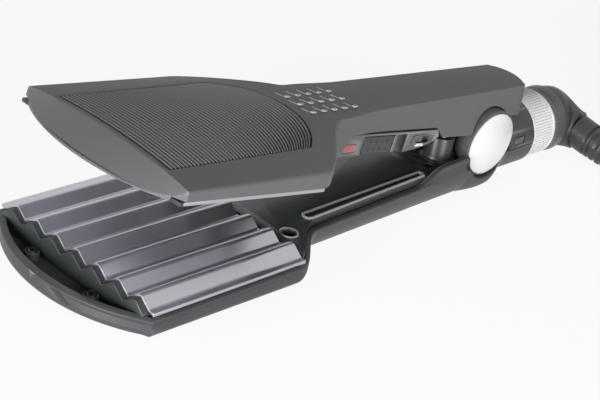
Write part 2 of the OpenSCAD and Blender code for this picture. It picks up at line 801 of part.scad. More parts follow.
upper_stations = concat(
    [for (a = [0:4]) plate_front_x - upper_nose + 0.1 + a * a * (upper_nose - 1.4) / 16],
    [plate_front_x - upper_nose + wall + 0.5 - skin_step, plate_front_x - upper_nose + wall + 0.5],
    [plate_front_x - 0.6, plate_front_x - 0.2, upper_top_x, pad_x - skin_step, pad_x],
    steps(plate_front_x + 12, waist_front_x, 3),
    steps(waist_front_x, pad_corner_x, 2),
    [for (a = [0:4]) pad_back_x - pad_arc_r * (1 - cos((1 - a / 4) * asin(pad_rear_w / pad_arc_r)))],
    [pad_back_x + skin_step],
    steps(pad_back_x + 1.6, panel_front_x, 4),
    steps(panel_front_x, panel_rise_x, 5),
    steps(panel_rise_x, panel_back_x, 4),
    [panel_back_x, panel_back_x + 1.4, panel_back_x + 2.7, panel_back_x + 4],
    [for (a = [90:-15:-45]) -arch_r * sin(a)],
    [8.8, 10.5, tail_corner_x, 14.2, tail_len - wall - skin_step, tail_len - wall, tail_len - 0.8, tail_len]
);

vent_x = pad_x + pad_len + 3.4;

module vent_louvres() {
    color(gunmetal) open_pose()
        for (i = [0:4], j = [-1:1])
            translate([vent_x + i * vent_pitch, j * 5, deck_at(vent_x + i * vent_pitch, j * 5, -0.12)])
                rotate([0, -atan(deck_slope), 0]) linear_extrude(0.4)
                    polygon([[0, -1.6], [1.6, -1.6], [0.8, 1.6], [-0.8, 1.6]]);
}

module upper_casing() {
    color(gunmetal) open_pose() loft([for (x = sorted(upper_stations)) casing_ring(x)], 11);
}

// Flat-bottomed strip of the pad at x, following the crown
function pad_ring(x) =
    let (
        w = pad_w(x) - set_gap,
        top = [for (u = [-1:0.25:1]) [w * u, deck_at(x, w * u, pad_recess - pad_t - set_gap)]]
    )
    [for (p = concat(top, reversed(shifted(top, -pad_t)))) [x, p[0], p[1]]];

pad_stations = concat(
    [pad_x + set_gap, plate_front_x + 20, waist_front_x - 12, waist_front_x],
    [for (a = [0:5]) pad_back_x - set_gap - pad_arc_r * (1 - cos((1 - a / 5) * asin(pad_rear_w / pad_arc_r)))]
);

module heat_pad() {
    color(cover_black) open_pose() loft([for (x = pad_stations) pad_ring(x)], 9);
}

module vent_baffle() {
    color("silver") open_pose()
        span([vent_x - 2, -8, deck_inner_h(vent_x - 2) - 1.4], [vent_x + 20, 8, deck_inner_h(vent_x - 2) - 0.8]);
}

// ---- Upper handle cover and controls ----

panel_half_w = 12;
panel_low_h = 16.5;
slider_x = panel_front_x + 13.8;
slider_z = panel_low_h;
slider_t = 1;
slider_gap_len = slider_len + slider_travel + 1;
lens_x = panel_front_x + 4.3;
lens_z = panel_low_h + 1.1;
lock_x = slider_x + slider_gap_len + 3.5;
lock_z = 18.8;
lock_len = 5;
lock_w = 2.6;
cover_skin = cover_t * 0.75;
hollow_low = panel_low_h + cover_skin + set_gap;
hollow_high = panel_top_h - 0.2 - cover_skin - set_gap;
stem_low = hollow_low + 0.5;
stem_high = hollow_high - 0.5;

module panel_profile() {
    polygon(concat(
        [[cover_front_x, upper_rim_h + 0.3], [panel_front_x, panel_low_h]],
        [for (t = [0:15:75]) [panel_back_x - 18 + 20 * sin(t), panel_low_h + 5.6 * (1 - cos(t))]],
        [[panel_back_x + 0.2, panel_top_h - 0.2], [panel_rise_x + 1, panel_top_h - 0.2],
            [panel_front_x - 2, upper_rim_h + 2.2], [cover_front_x, upper_rim_h + 2.2]]
    ));
}

// Region above the lower edge of the casing, where its rising wall hides the cover
module behind_wall() {
    polygon(concat(
        [[panel_front_x - 3, 30]],
        [for (x = steps(panel_front_x - 3, panel_rise_x + 2, 9)) [x, upper_low(x) - 0.2]],
        [[panel_rise_x + 2, 30]]
    ));
}

module upper_inner_cover() {
    color([0.45, 0.45, 0.46]) open_pose() difference() {
        across_y(-panel_half_w, 2 * panel_half_w) panel_profile();
        across_y(-panel_half_w + wall, 2 * (panel_half_w - wall))
            offset(delta = -cover_skin) panel_profile();
        for (s = [-1, 1]) across_y(s * (panel_half_w + 0.1) - 1, 2) behind_wall();
        span([slider_x - 0.5, -panel_half_w - 1, slider_z - 1],
            [slider_x + slider_gap_len, -panel_half_w + slider_t, slider_z + slider_h + 0.1]);
        span([slider_x + 4, -panel_half_w - 1, stem_low - 0.4],
            [slider_x + slider_gap_len - 4, -panel_half_w + wall + 1, stem_high + 0.4]);
        span([lens_x, -panel_half_w - 1, lens_z], [lens_x + lens_len, -panel_half_w + wall + 1, lens_z + lens_h]);
        span([lock_x, -panel_half_w - 1, lock_z],
            [lock_x + lock_len + lock_travel, -panel_half_w + wall + 1, lock_z + lock_w]);
    }
}

module lamp_lens() {
    color([0.75, 0.2, 0.2]) open_pose()
        span([lens_x + set_gap, -panel_half_w, lens_z + set_gap],
            [lens_x + lens_len - set_gap, -panel_half_w + wall, lens_z + lens_h - set_gap]);
}

module lamp() {
    color("orange") open_pose()
        y_cylinder(0.7, -panel_half_w + wall, -panel_half_w + wall + 5, lens_x + lens_len / 2,
            hollow_low + 0.8);
}

module power_slider() {
    color(dark_gunmetal) open_pose() {
        span([slider_x, -panel_half_w, slider_z + 0.3],
            [slider_x + slider_len, -panel_half_w + slider_t - 0.05, slider_z + slider_h - 0.2]);
        span([slider_x + 5, -panel_half_w + slider_t - 0.1, stem_low],
            [slider_x + 8, -panel_half_w + wall + 1, stem_high]);
    }
}

module switch_body() {
    color("dimgray") open_pose()
        span([slider_x + 2, -panel_half_w + wall + 1.4, hollow_low],
            [slider_x + 14, -panel_half_w + wall + 6, hollow_high]);
}

module lock_slider() {
    color(dark_gunmetal) open_pose()
        span([lock_x + 0.3, -panel_half_w + 0.2, lock_z + 0.3],
            [lock_x + lock_len - 0.3, -panel_half_w + wall + 0.8, lock_z + lock_w - 0.3]);
}

module circuit_board() {
    color([0.1, 0.4, 0.2]) open_pose()
        span([panel_front_x + 12, -3.5, hollow_low + 0.8], [panel_front_x + 38, 9.5, hollow_low + 2.3]);
}

fuse_len = 6;
fuse_r = 1.2;

// Thermal fuse on top of the plate holder, just in front of the inner cover
module thermal_fuse() {
    color("silver") open_pose()
        translate([cover_front_x - fuse_len - 1.3, 6, upper_holder_top + fuse_r]) rotate([0, 90, 0])
            cylinder(r = fuse_r, h = fuse_len, $fn = 32);
}

module cover_clips() {
    color(cover_black) open_pose()
        for (s = [-1, 1])
            translate([cover_front_x, s * (holder_half_w - 3.5) - 1, upper_base_h])
                cube([2, 2, upper_rim_h - upper_base_h + 1]);
}

module upper_screws() {
    color("dimgray") open_pose()
        for (x = [panel_front_x + 8, panel_front_x + 34])
            translate([x, 0, panel_low_h - 0.6]) cylinder(r = 2, h = 0.6, $fn = smooth_fn);
}

// ---- Cord ----

bush_r = socket_r - turn_fit;
bush_len = 12;

module swivel_bush() {
    color("dimgray") barrel_cylinder(bush_r, collar_back_x + 0.4 - bush_len, collar_back_x + 0.4);
}

// Skins a tube along hand-placed points [x, y, z, radius]
function unit(v) = v / norm(v);
module tube(route, sides) {
    n = len(route);
    pts = [for (p = route) [p[0], p[1], p[2]]];
    rings = [
        for (i = [0:n - 1])
            let (
                t = unit(pts[min(i + 1, n - 1)] - pts[max(i - 1, 0)]),
                side = unit(cross(t, [0, 0, 1])),
                up = cross(side, t)
            )
            [for (k = [0:sides - 1])
                let (a = 360 * (k + 0.5) / sides)
                pts[i] + route[i][3] * (cos(a) * side + sin(a) * up)]
    ];
    loft(rings);
}

elbow_x = collar_back_x + 0.4;
elbow_r = 9.5;
elbow_exit_r = 6.2;
elbow_turn = 80;
elbow_pivot_x = elbow_x + 1.6;
elbow_pivot_y = -elbow_r - 0.6;

// Ring of the elbow, turned by a about its pivot
function elbow_ring(a, r, z, sides) =
    let (d = r + 0.6)
    [for (k = [0:sides - 1])
        let (u = 360 * k / sides, reach = d + r * cos(u))
        [elbow_pivot_x + reach * sin(a), elbow_pivot_y + reach * cos(a), z - r * sin(u)]];

relief_route = [
    [51.7, -9, 8.5, 5.4], [52.2, -14, 7.5, 5.4], [52.6, -20, 6.6, 5.2], [52.8, -28, 5.5, 4.8], [53.2, -36, 4.5, 4.2],
    [53.6, -40, 4, 3.9]
];
cord_route = [
    [53.6, -40, 4], [53.8, -45, 3.6], [55.6, -52.4, 3.3], [60, -60.4, 3.25], [67, -67.4, 3.25],
    [76, -71.7, 3.25], [86, -73, 3.25]
];
coil_x = 137;
coil_y = -23.4;
layer_h = cord_d + 0.05;
coil_wide = 4 * layer_h;
coil_high = 2 * layer_h;

plug_len = 36;
plug_w = 34;
plug_t = 13.7;
pin_d = 4;
pin_len = 19;
pin_gap = 18.6;

// Last turn of the lead, which climbs onto the coil and leads to the plug
coil_outer = coil_r + 1.5 * layer_h;
tail_sweep = 255;
tail_route = [
    for (i = [0:17])
        let (a = 270 + tail_sweep * i / 17)
        [coil_x + ease(i, 0, 17, coil_outer, coil_r) * cos(a),
            coil_y + ease(i, 0, 17, coil_outer, coil_r) * sin(a),
            1.5 * layer_h + ease(i, 0, 4, 0, layer_h) + ease(i, 14, 17, 0, plug_t / 2 - cord_d / 2)]
];
plug_turn = 270 + tail_sweep + 90;

module swivel_elbow() {
    start = [for (p = elbow_ring(0, elbow_r, barrel_h, 24)) [elbow_x, p[1], p[2]]];
    color([0.12, 0.12, 0.13]) loft(concat([start], [
        for (i = [0:8])
            elbow_ring(elbow_turn * i / 8, ease(i, 1, 8, elbow_r, elbow_exit_r),
                ease(i, 0, 8, barrel_h, barrel_h - 2.4), 24)
    ]));
}

module strain_relief() {
    color([0.1, 0.1, 0.1]) tube(relief_route, 20);
}

module cord_tube() {
    join = [coil_x - 12, coil_y - coil_outer, cord_d / 2];
    color([0.1, 0.1, 0.1]) tube([for (p = concat(cord_route, [join])) [p[0], p[1], p[2], cord_d / 2]], 8);
}

module cord_coil() {
    color([0.1, 0.1, 0.1]) translate([coil_x, coil_y, 0]) rotate_extrude($fn = 96)
        translate([coil_r - coil_wide / 2, 0]) square([coil_wide, coil_high]);
}

module cord_tail() {
    color([0.1, 0.1, 0.1]) tube([for (p = tail_route) [p[0], p[1], p[2], cord_d / 2]], 8);
}

tie_w = 10;
tie_t = 1;

// Strap round the coil and the turn that lies on it, open at the table
module cord_tie() {
    inner = [
        [-coil_wide / 2 - 0.8, 0], [-coil_wide / 2 - 0.8, coil_high + 0.3], [0.5, coil_high + 0.4],
        [3, coil_high + layer_h + 0.3], [coil_wide / 2 + 0.2, coil_high + layer_h + 0.3], [coil_wide / 2 + 0.2, 0]
    ];
    color([0.15, 0.15, 0.15]) translate([coil_x + coil_r, 0, 0]) across_y(coil_y - tie_w / 2, tie_w) difference() {
        offset(delta = tie_t) polygon(inner);
        polygon(inner);
        translate([-coil_wide, -2 * tie_t]) square([2 * coil_wide, 2 * tie_t]);
    }
}

// Puts what is drawn along X at the end of the lead, on top of the coil
module on_coil() {
    translate([coil_x + coil_r * cos(270 + tail_sweep), coil_y + coil_r * sin(270 + tail_sweep), coil_high + 0.05])
        rotate([0, 0, plug_turn]) children();
}

module plug_body() {
    color([0.1, 0.1, 0.1]) on_coil() linear_extrude(plug_t)
        polygon([
            [0, -5], [8, -6], [14, -plug_w / 2 + 3], [18, -plug_w / 2], [plug_len, -plug_w / 2],
            [plug_len, plug_w / 2], [18, plug_w / 2], [14, plug_w / 2 - 3], [8, 6], [0, 5]
        ]);
}

module plug_pins() {
    color("silver") on_coil() translate([plug_len, 0, plug_t / 2])
        for (s = [-1, 1])
            translate([0, s * pin_gap / 2, 0]) rotate([0, 90, 0])
                cylinder(r = pin_d / 2, h = pin_len, $fn = smooth_fn);
}

lower_casing();
lower_inner_cover();
lower_plate_holder();
lower_crimp_plate();
lower_heater();
lower_insulator();
nose_screws();
cover_screws();
barrel_shell();
hinge_carrier();
hinge_pin();
hinge_disc_near();
hinge_disc_far();
opening_spring();
tail_spindle();
thermostat_pot();
temperature_dial();
rear_collar();
upper_casing();
heat_pad();
vent_louvres();
vent_baffle();
upper_inner_cover();
upper_plate_holder();
upper_crimp_plate();
upper_heater();
upper_insulator();
hinge_knuckle();
cover_clips();
lamp_lens();
lamp();
switch_body();
circuit_board();
thermal_fuse();
upper_screws();
power_slider();
lock_slider();
swivel_bush();
swivel_elbow();
strain_relief();
cord_tube();
cord_coil();
cord_tail();
cord_tie();
plug_body();
plug_pins();
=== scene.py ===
"""Looks of a hair crimper: two sprung arms, zigzag plates, a ribbed heat pad, a dial and a mains lead.

Lengths are in millimetres until a mesh is made, and in metres from there on. The upper arm is
drawn with the jaws closed and is then turned about the hinge to where it rests.
"""

import json
import logging
from dataclasses import dataclass, field
from enum import Enum
from math import asin, atan, copysign, cos, pi, radians, sin, sqrt
from typing import Optional, Sequence, Union

import bmesh
import bpy
from mathutils import Matrix, Vector

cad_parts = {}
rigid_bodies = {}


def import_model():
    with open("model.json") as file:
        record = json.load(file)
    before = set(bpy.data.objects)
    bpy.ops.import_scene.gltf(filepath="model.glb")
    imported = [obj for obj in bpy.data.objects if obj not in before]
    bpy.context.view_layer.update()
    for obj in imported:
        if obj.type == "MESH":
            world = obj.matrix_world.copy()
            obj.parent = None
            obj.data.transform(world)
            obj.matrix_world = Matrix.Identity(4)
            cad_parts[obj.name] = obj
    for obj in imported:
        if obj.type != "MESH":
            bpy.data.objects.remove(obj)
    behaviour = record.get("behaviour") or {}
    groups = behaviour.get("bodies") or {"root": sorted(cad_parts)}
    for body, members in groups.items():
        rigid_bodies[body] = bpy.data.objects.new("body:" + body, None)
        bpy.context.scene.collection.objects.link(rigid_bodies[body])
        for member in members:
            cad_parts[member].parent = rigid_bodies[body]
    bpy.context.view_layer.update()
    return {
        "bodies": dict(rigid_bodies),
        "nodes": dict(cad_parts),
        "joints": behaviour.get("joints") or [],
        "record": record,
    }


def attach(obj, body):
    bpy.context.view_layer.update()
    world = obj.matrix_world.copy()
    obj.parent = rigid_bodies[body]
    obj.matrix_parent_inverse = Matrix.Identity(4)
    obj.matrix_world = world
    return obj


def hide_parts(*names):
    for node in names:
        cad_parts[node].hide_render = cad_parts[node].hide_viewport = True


LOG = logging.getLogger("hair_crimper")
MM = 0.001
SHARP = 32.0

Pair = tuple[float, float]
Triple = tuple[float, float, float]
Piece = bpy.types.Object
Inputs = dict[Union[str, int], object]


# ---------------------------------------------------------------- small sums


def ease(x: float, x0: float, x1: float, a: float, b: float) -> float:
    """Move gently from a to b while x passes from x0 to x1."""
    u = min(1.0, max(0.0, (x - x0) / (x1 - x0)))
    return a + (b - a) * u * u * (3 - 2 * u)


def line_at(x: float, x0: float, x1: float, a: float, b: float) -> float:
    """Return the height at x of the straight line from a at x0 to b at x1."""
    return a + (b - a) * (x - x0) / (x1 - x0)


def arc_half_width(x: float, centre: float, radius: float, least: float = 3.0) -> float:
    """Return half the width at x of a round end, never below least."""
    return sqrt(max(least * least, radius * radius - (x - centre) ** 2))


def nose_radius(half_width: float, depth: float) -> float:
    """Return the radius of an arc that bulges by depth between two corners."""
    return (half_width * half_width + depth * depth) / (2 * depth)


def spread(a: float, b: float, count: int) -> list[float]:
    """Return count + 1 even steps from a to b."""
    return [a + (b - a) * i / count for i in range(count + 1)]


def angles(count: int) -> list[float]:
    """Return even angles for one turn, the last one short of the first."""
    return [2 * pi * k / count for k in range(count)]


def merged(values: Sequence[float], least: float = 0.03) -> list[float]:
    """Sort values and drop those closer than least to the one before."""
    kept: list[float] = []
    for value in sorted(values):
        if not kept or value - kept[-1] > least:
            kept.append(value)
    return kept


def filleted(points: Sequence[Pair], radii: Sequence[float], steps: int = 4) -> list[Pair]:
    """Round the corners of an open line.

    Args:
        points: Corners of the line.
        radii: Radius asked for at each corner, 0 to keep it sharp.
        steps: Segments round each corner.

    Returns:
        The line with steps + 1 points in place of every inner corner, whatever its radius.
    """
    made: list[Pair] = [points[0]]
    for i in range(1, len(points) - 1):
        before, here, after = (Vector(points[j]) for j in (i - 1, i, i + 1))
        back, on = before - here, after - here
        reach = min(radii[i], 0.48 * back.length, 0.48 * on.length)
        start = here + back.normalized() * reach if back.length else here
        end = here + on.normalized() * reach if on.length else here
        for k in range(steps + 1):
            t = k / steps
            point = start * (1 - t) ** 2 + here * (2 * t * (1 - t)) + end * t * t
            made.append((point.x, point.y))
    made.append(points[-1])
    return made


def closed(points: Sequence[Pair], radii: Sequence[float], steps: int = 4) -> list[Pair]:
    """Round the corners of an outline, apart from its first corner, by the radii of the others."""
    return filleted([*points, points[0]], [0, *radii, 0], steps)[:-1]


def mirrored(half: Sequence[Pair]) -> list[Pair]:
    """Continue a half section, which ends on the middle line, to the other side."""
    return list(half) + [(-y, z) for y, z in reversed(half[:-1])]


# ---------------------------------------------------------------- mesh making


class Maker:
    """Turns lists of points in millimetres into finished mesh objects."""

    @staticmethod
    def object_from(name: str, points: Sequence[Triple], faces: Sequence[Sequence[int]],
                    sharp: float = SHARP) -> Piece:
        """Make a mesh object with outward faces, smooth apart from its sharp edges.

        Args:
            name: Name of the object.
            points: Corners in millimetres.
            faces: Corner numbers of each face.
            sharp: Angle in degrees above which an edge stays sharp.

        Returns:
            The linked object.
        """
        mesh = bpy.data.meshes.new(name)
        mesh.from_pydata([(x * MM, y * MM, z * MM) for x, y, z in points], [], [list(f) for f in faces])
        return Maker.finished(name, mesh, sharp)

    @staticmethod
    def finished(name: str, mesh: bpy.types.Mesh, sharp: float = SHARP) -> Piece:
        """Weld a mesh, turn its faces outwards, shade it and link an object for it."""
        work = bmesh.new()
        work.from_mesh(mesh)
        bmesh.ops.remove_doubles(work, verts=work.verts, dist=1e-6)
        bmesh.ops.recalc_face_normals(work, faces=work.faces)
        work.to_mesh(mesh)
        work.free()
        Maker.shaded(mesh, sharp)
        return Maker.linked(name, mesh)

    @staticmethod
    def shaded(mesh: bpy.types.Mesh, sharp: float) -> None:
        """Shade a mesh smooth, apart from edges sharper than an angle in degrees."""
        mesh.shade_smooth()
        mesh.set_sharp_from_angle(angle=radians(sharp))

    @staticmethod
    def linked(name: str, data: bpy.types.ID) -> Piece:
        """Make and link an object for a mesh, a curve, a lamp or a camera."""
        made = bpy.data.objects.new(name, data)
        bpy.context.scene.collection.objects.link(made)
        return made

    @staticmethod
    def moved(piece: Piece, place: Matrix) -> Piece:
        """Turn and move the corners of a piece by a place in millimetres."""
        for vertex in piece.data.vertices:
            vertex.co = (place @ (vertex.co / MM)) * MM
        return piece

    @staticmethod
    def loft(name: str, rings: Sequence[Sequence[Triple]], capped: bool = True, looped: bool = False,
             sharp: float = SHARP) -> Piece:
        """Skin closed rings of equal length into one solid."""
        count, total = len(rings[0]), len(rings)
        points = [p for ring in rings for p in ring]
        faces: list[list[int]] = []
        for i in range(total if looped else total - 1):
            for j in range(count):
                a, b = i * count + j, i * count + (j + 1) % count
                c, d = ((i + 1) % total) * count + (j + 1) % count, ((i + 1) % total) * count + j
                faces.append([a, b, c, d])
        if capped and not looped:
            faces.append(list(range(count))[::-1])
            faces.append([(total - 1) * count + j for j in range(count)])
        return Maker.object_from(name, points, faces, sharp)

    @staticmethod
    def lathe(name: str, profile: Sequence[Pair], place: Matrix, steps: int = 96,
              sharp: float = SHARP) -> Piece:
        """Turn a closed profile of (radius, height) about its axis and put it in place."""
        rings = []
        for a in angles(steps):
            rings.append([tuple(place @ Vector((r * cos(a), r * sin(a), h))) for r, h in profile])
        return Maker.loft(name, rings, looped=True, sharp=sharp)

    @staticmethod
    def prism(name: str, outline: Sequence[Pair], low: float, high: float, place: Matrix = Matrix(),
              edge: float = 0.0, steps: int = 2) -> Piece:
        """Pull an outline up from low to high, and round its edges.

        Args:
            name: Name of the object.
            outline: Corners of the outline.
            low: Where the prism starts.
            high: Where it ends.
            place: Turns and moves the prism, in millimetres.
            edge: Width of the rounded edges, 0 for none.
            steps: Segments of a rounded edge.

        Returns:
            The finished object.
        """
        count = len(outline)
        points = [tuple(place @ Vector((x, y, z))) for z in (low, high) for x, y in outline]
        faces = [[i, (i + 1) % count, count + (i + 1) % count, count + i] for i in range(count)]
        faces += [list(range(count))[::-1], list(range(count, 2 * count))]
        piece = Maker.object_from(name, points, faces)
        if edge:
            Maker.bevelled(piece, edge, steps)
        return piece

    @staticmethod
    def bevelled(piece: Piece, width: float, steps: int = 2, angle: float = 30.0) -> None:
        """Round the sharp edges of a piece by width millimetres."""
        change = piece.modifiers.new("edges", "BEVEL")
        change.width = width * MM
        change.segments = steps
        change.limit_method = "ANGLE"
        change.angle_limit = radians(angle)
        Maker.settled(piece)

    @staticmethod
    def settled(piece: Piece, sharp: float = SHARP) -> None:
        """Replace a piece's mesh by what its modifiers make of it."""
        graph = bpy.context.evaluated_depsgraph_get()
        graph.update()
        mesh = bpy.data.meshes.new_from_object(piece.evaluated_get(graph), depsgraph=graph)
        piece.modifiers.clear()
        piece.data = mesh
        Maker.shaded(mesh, sharp)

    @staticmethod
    def cut(piece: Piece, cutters: Sequence[Piece]) -> None:
        """Cut away what the cutters cover and delete them."""
        for cutter in cutters:
            change = piece.modifiers.new("cut", "BOOLEAN")
            change.operation = "DIFFERENCE"
            change.solver = "EXACT"
            change.object = cutter
            Maker.settled(piece)
            bpy.data.objects.remove(cutter)

    @staticmethod
    def joined(name: str, pieces: Sequence[Piece]) -> Piece:
        """Bring several meshes together in one object, with their materials kept apart."""
        work = bmesh.new()
        finishes: list[bpy.types.Material] = []
        for piece in pieces:
            numbers = []
            for finish in piece.data.materials:
                if finish not in finishes:
                    finishes.append(finish)
                numbers.append(finishes.index(finish))
            start = len(work.faces)
            work.from_mesh(piece.data)
            work.faces.ensure_lookup_table()
            for face in work.faces[start:]:
                face.material_index = numbers[face.material_index] if numbers else 0
        mesh = bpy.data.meshes.new(name)
        work.to_mesh(mesh)
        work.free()
        for finish in finishes:
            mesh.materials.append(finish)
        made = Maker.linked(name, mesh)
        for piece in pieces:
            bpy.data.objects.remove(piece)
        mesh.set_sharp_from_angle(angle=radians(SHARP))
        return made


def along_x(place: Matrix = Matrix()) -> Matrix:
    """Return the turn that lays (y, z, x) points along X, put in place afterwards."""
    return place @ Matrix(((0, 0, 1, 0), (1, 0, 0, 0), (0, 1, 0, 0), (0, 0, 0, 1)))


def across_y(place: Matrix = Matrix()) -> Matrix:
    """Return the turn that lays (x, z, y) points across Y, put in place afterwards."""
    return place @ Matrix(((1, 0, 0, 0), (0, 0, 1, 0), (0, 1, 0, 0), (0, 0, 0, 1)))


def shifted(x: float, y: float, z: float) -> Matrix:
    """Return a plain move."""
    return Matrix.Translation((x, y, z))


# ---------------------------------------------------------------- finishes


class Socket(Enum):
    """Kinds of socket on a shared shader or geometry tree."""

    NUMBER = "NodeSocketFloat"
    WHOLE = "NodeSocketInt"
    COLOUR = "NodeSocketColor"
    VECTOR = "NodeSocketVector"
    SHAPE = "NodeSocketGeometry"
    FINISH = "NodeSocketMaterial"


Named = tuple[str, Socket]


class Wiring:
    """Adds and joins nodes in one tree."""

    def __init__(self, tree: bpy.types.NodeTree) -> None:
        """Keep the tree that is wired."""
        self.tree = tree

    def feed(self, node: bpy.types.Node, inputs: Inputs) -> None:
        """Set a node's inputs, by name or number, or lead sockets into them."""
        for key, value in inputs.items():
            if isinstance(value, bpy.types.NodeSocket):
                self.tree.links.new(value, node.inputs[key])
            else:
                node.inputs[key].default_value = value

    def node(self, kind: str, inputs: Optional[Inputs] = None, **settings: object) -> bpy.types.Node:
        """Add a node.

        Args:
            kind: Type of the node.
            inputs: Values or sockets for its inputs.
            settings: Properties of the node.

        Returns:
            The new node.
        """
        made = self.tree.nodes.new(kind)
        for name, value in settings.items():
            setattr(made, name, value)
        self.feed(made, inputs or {})
        return made

    def sums(self, operation: str, *values: object) -> bpy.types.NodeSocket:
        """Add a Math node on numbers or sockets and return its result."""
        return self.node("ShaderNodeMath", dict(enumerate(values)), operation=operation).outputs[0]


class Group(Wiring):
    """A node group with named inputs and outputs."""

    def __init__(self, name: str, kind: str, inputs: Sequence[Named], outputs: Sequence[Named]) -> None:
        """Make the group.

        Args:
            name: Name of the group.
            kind: Type of its tree.
            inputs: Name and kind of each input.
            outputs: Name and kind of each output.
        """
        super().__init__(bpy.data.node_groups.new(name, kind))
        for side, sockets in (("INPUT", inputs), ("OUTPUT", outputs)):
            for label, socket in sockets:
                self.tree.interface.new_socket(name=label, in_out=side, socket_type=socket.value)
        self.start = self.node("NodeGroupInput").outputs

    def ended(self, results: Inputs) -> bpy.types.NodeTree:
        """Lead the results to the group's outputs and return its tree."""
        self.node("NodeGroupOutput", results)
        return self.tree


class GeometryGroup(Group):
    """A group that changes a mesh, dresses it and leaves a plain mesh."""

    def __init__(self, name: str, *inputs: Named) -> None:
        """Make the group, with a mesh and a finish among its inputs."""
        mesh = ("Geometry", Socket.SHAPE)
        super().__init__(name, "GeometryNodeTree", [mesh, ("Finish", Socket.FINISH), *inputs], [mesh])

    def dressed(self, shape: bpy.types.NodeSocket) -> bpy.types.NodeSocket:
        """Make copies real and give them the finish."""
        real = self.node("GeometryNodeRealizeInstances", {0: shape}).outputs[0]
        finish = self.start["Finish"]
        return self.node("GeometryNodeSetMaterial", {"Geometry": real, "Material": finish}).outputs[0]

    def copied(self, points: bpy.types.NodeSocket, inputs: Inputs) -> bpy.types.NodeTree:
        """Set a copy on each point, and end the group."""
        copies = self.node("GeometryNodeInstanceOnPoints", {"Points": points, **inputs})
        return self.ended({0: self.dressed(copies.outputs[0])})

    def run(self, piece: Piece, values: dict[str, object]) -> Piece:
        """Run the finished group on a piece, with its inputs set by name, and keep the result."""
        change = piece.modifiers.new(self.tree.name, "NODES")
        change.node_group = self.tree
        for item in self.tree.interface.items_tree:
            if item.item_type == "SOCKET" and item.in_out == "INPUT" and item.name in values:
                change[item.identifier] = values[item.name]
        Maker.settled(piece)
        return piece


class SharedEffects:
    """Shader groups that more than one finish uses."""

    @staticmethod
    def mottle() -> bpy.types.NodeTree:
        """Build the group that varies a colour and a roughness a little over a surface."""
        colour, rough = ("Colour", Socket.COLOUR), ("Roughness", Socket.NUMBER)
        group = Group("mottle", "ShaderNodeTree",
                      [colour, ("Scale", Socket.NUMBER), ("Depth", Socket.NUMBER), rough],
                      [colour, rough])
        where = group.node("ShaderNodeTexCoord").outputs["Object"]
        noise = group.node("ShaderNodeTexNoise",
                           {"Vector": where, "Scale": group.start["Scale"], "Detail": 4.0})
        swing = group.sums("SUBTRACT", noise.outputs["Fac"], 0.5)
        amount = group.sums("MULTIPLY", swing, group.start["Depth"])
        bright = group.node("ShaderNodeHueSaturation",
                            {"Value": group.sums("ADD", amount, 1.0), "Color": group.start["Colour"]})
        return group.ended({"Colour": bright.outputs["Color"],
                            "Roughness": group.sums("ADD", group.start["Roughness"], amount)})

    @staticmethod
    def grain() -> bpy.types.NodeTree:
        """Build the group that gives the fine height of a moulded or sprayed skin."""
        group = Group("grain", "ShaderNodeTree", [("Scale", Socket.NUMBER), ("Stretch", Socket.VECTOR)],
                      [("Height", Socket.NUMBER)])
        where = group.node("ShaderNodeTexCoord").outputs["Object"]
        scaled = group.node("ShaderNodeVectorMath", {0: where, 1: group.start["Stretch"]},
                            operation="MULTIPLY")
        noise = group.node("ShaderNodeTexNoise",
                           {"Vector": scaled.outputs[0], "Scale": group.start["Scale"], "Detail": 3.0})
        return group.ended({"Height": noise.outputs["Fac"]})

    @staticmethod
    def wear_and_highlight() -> bpy.types.NodeTree:
        """Build the group that lightens a colour along sharp edges, found by pointiness: partly rubbed
        wear, partly a painted highlight along the edges.
        """
        colour = ("Colour", Socket.COLOUR)
        group = Group("edge wear and highlight", "ShaderNodeTree",
                      [colour, ("Rubbed and highlight", Socket.COLOUR), ("Amount", Socket.NUMBER)], [colour])
        sharpness = group.node("ShaderNodeNewGeometry").outputs["Pointiness"]
        mask = group.node("ShaderNodeMapRange", {"Value": sharpness, "From Min": 0.54, "From Max": 0.68})
        share = group.sums("MULTIPLY", mask.outputs["Result"], group.start["Amount"])
        mix = group.node("ShaderNodeMix", {
            "Factor": share, "A": group.start["Colour"], "B": group.start["Rubbed and highlight"]}, data_type="RGBA")
        return group.ended({"Colour": mix.outputs["Result"]})


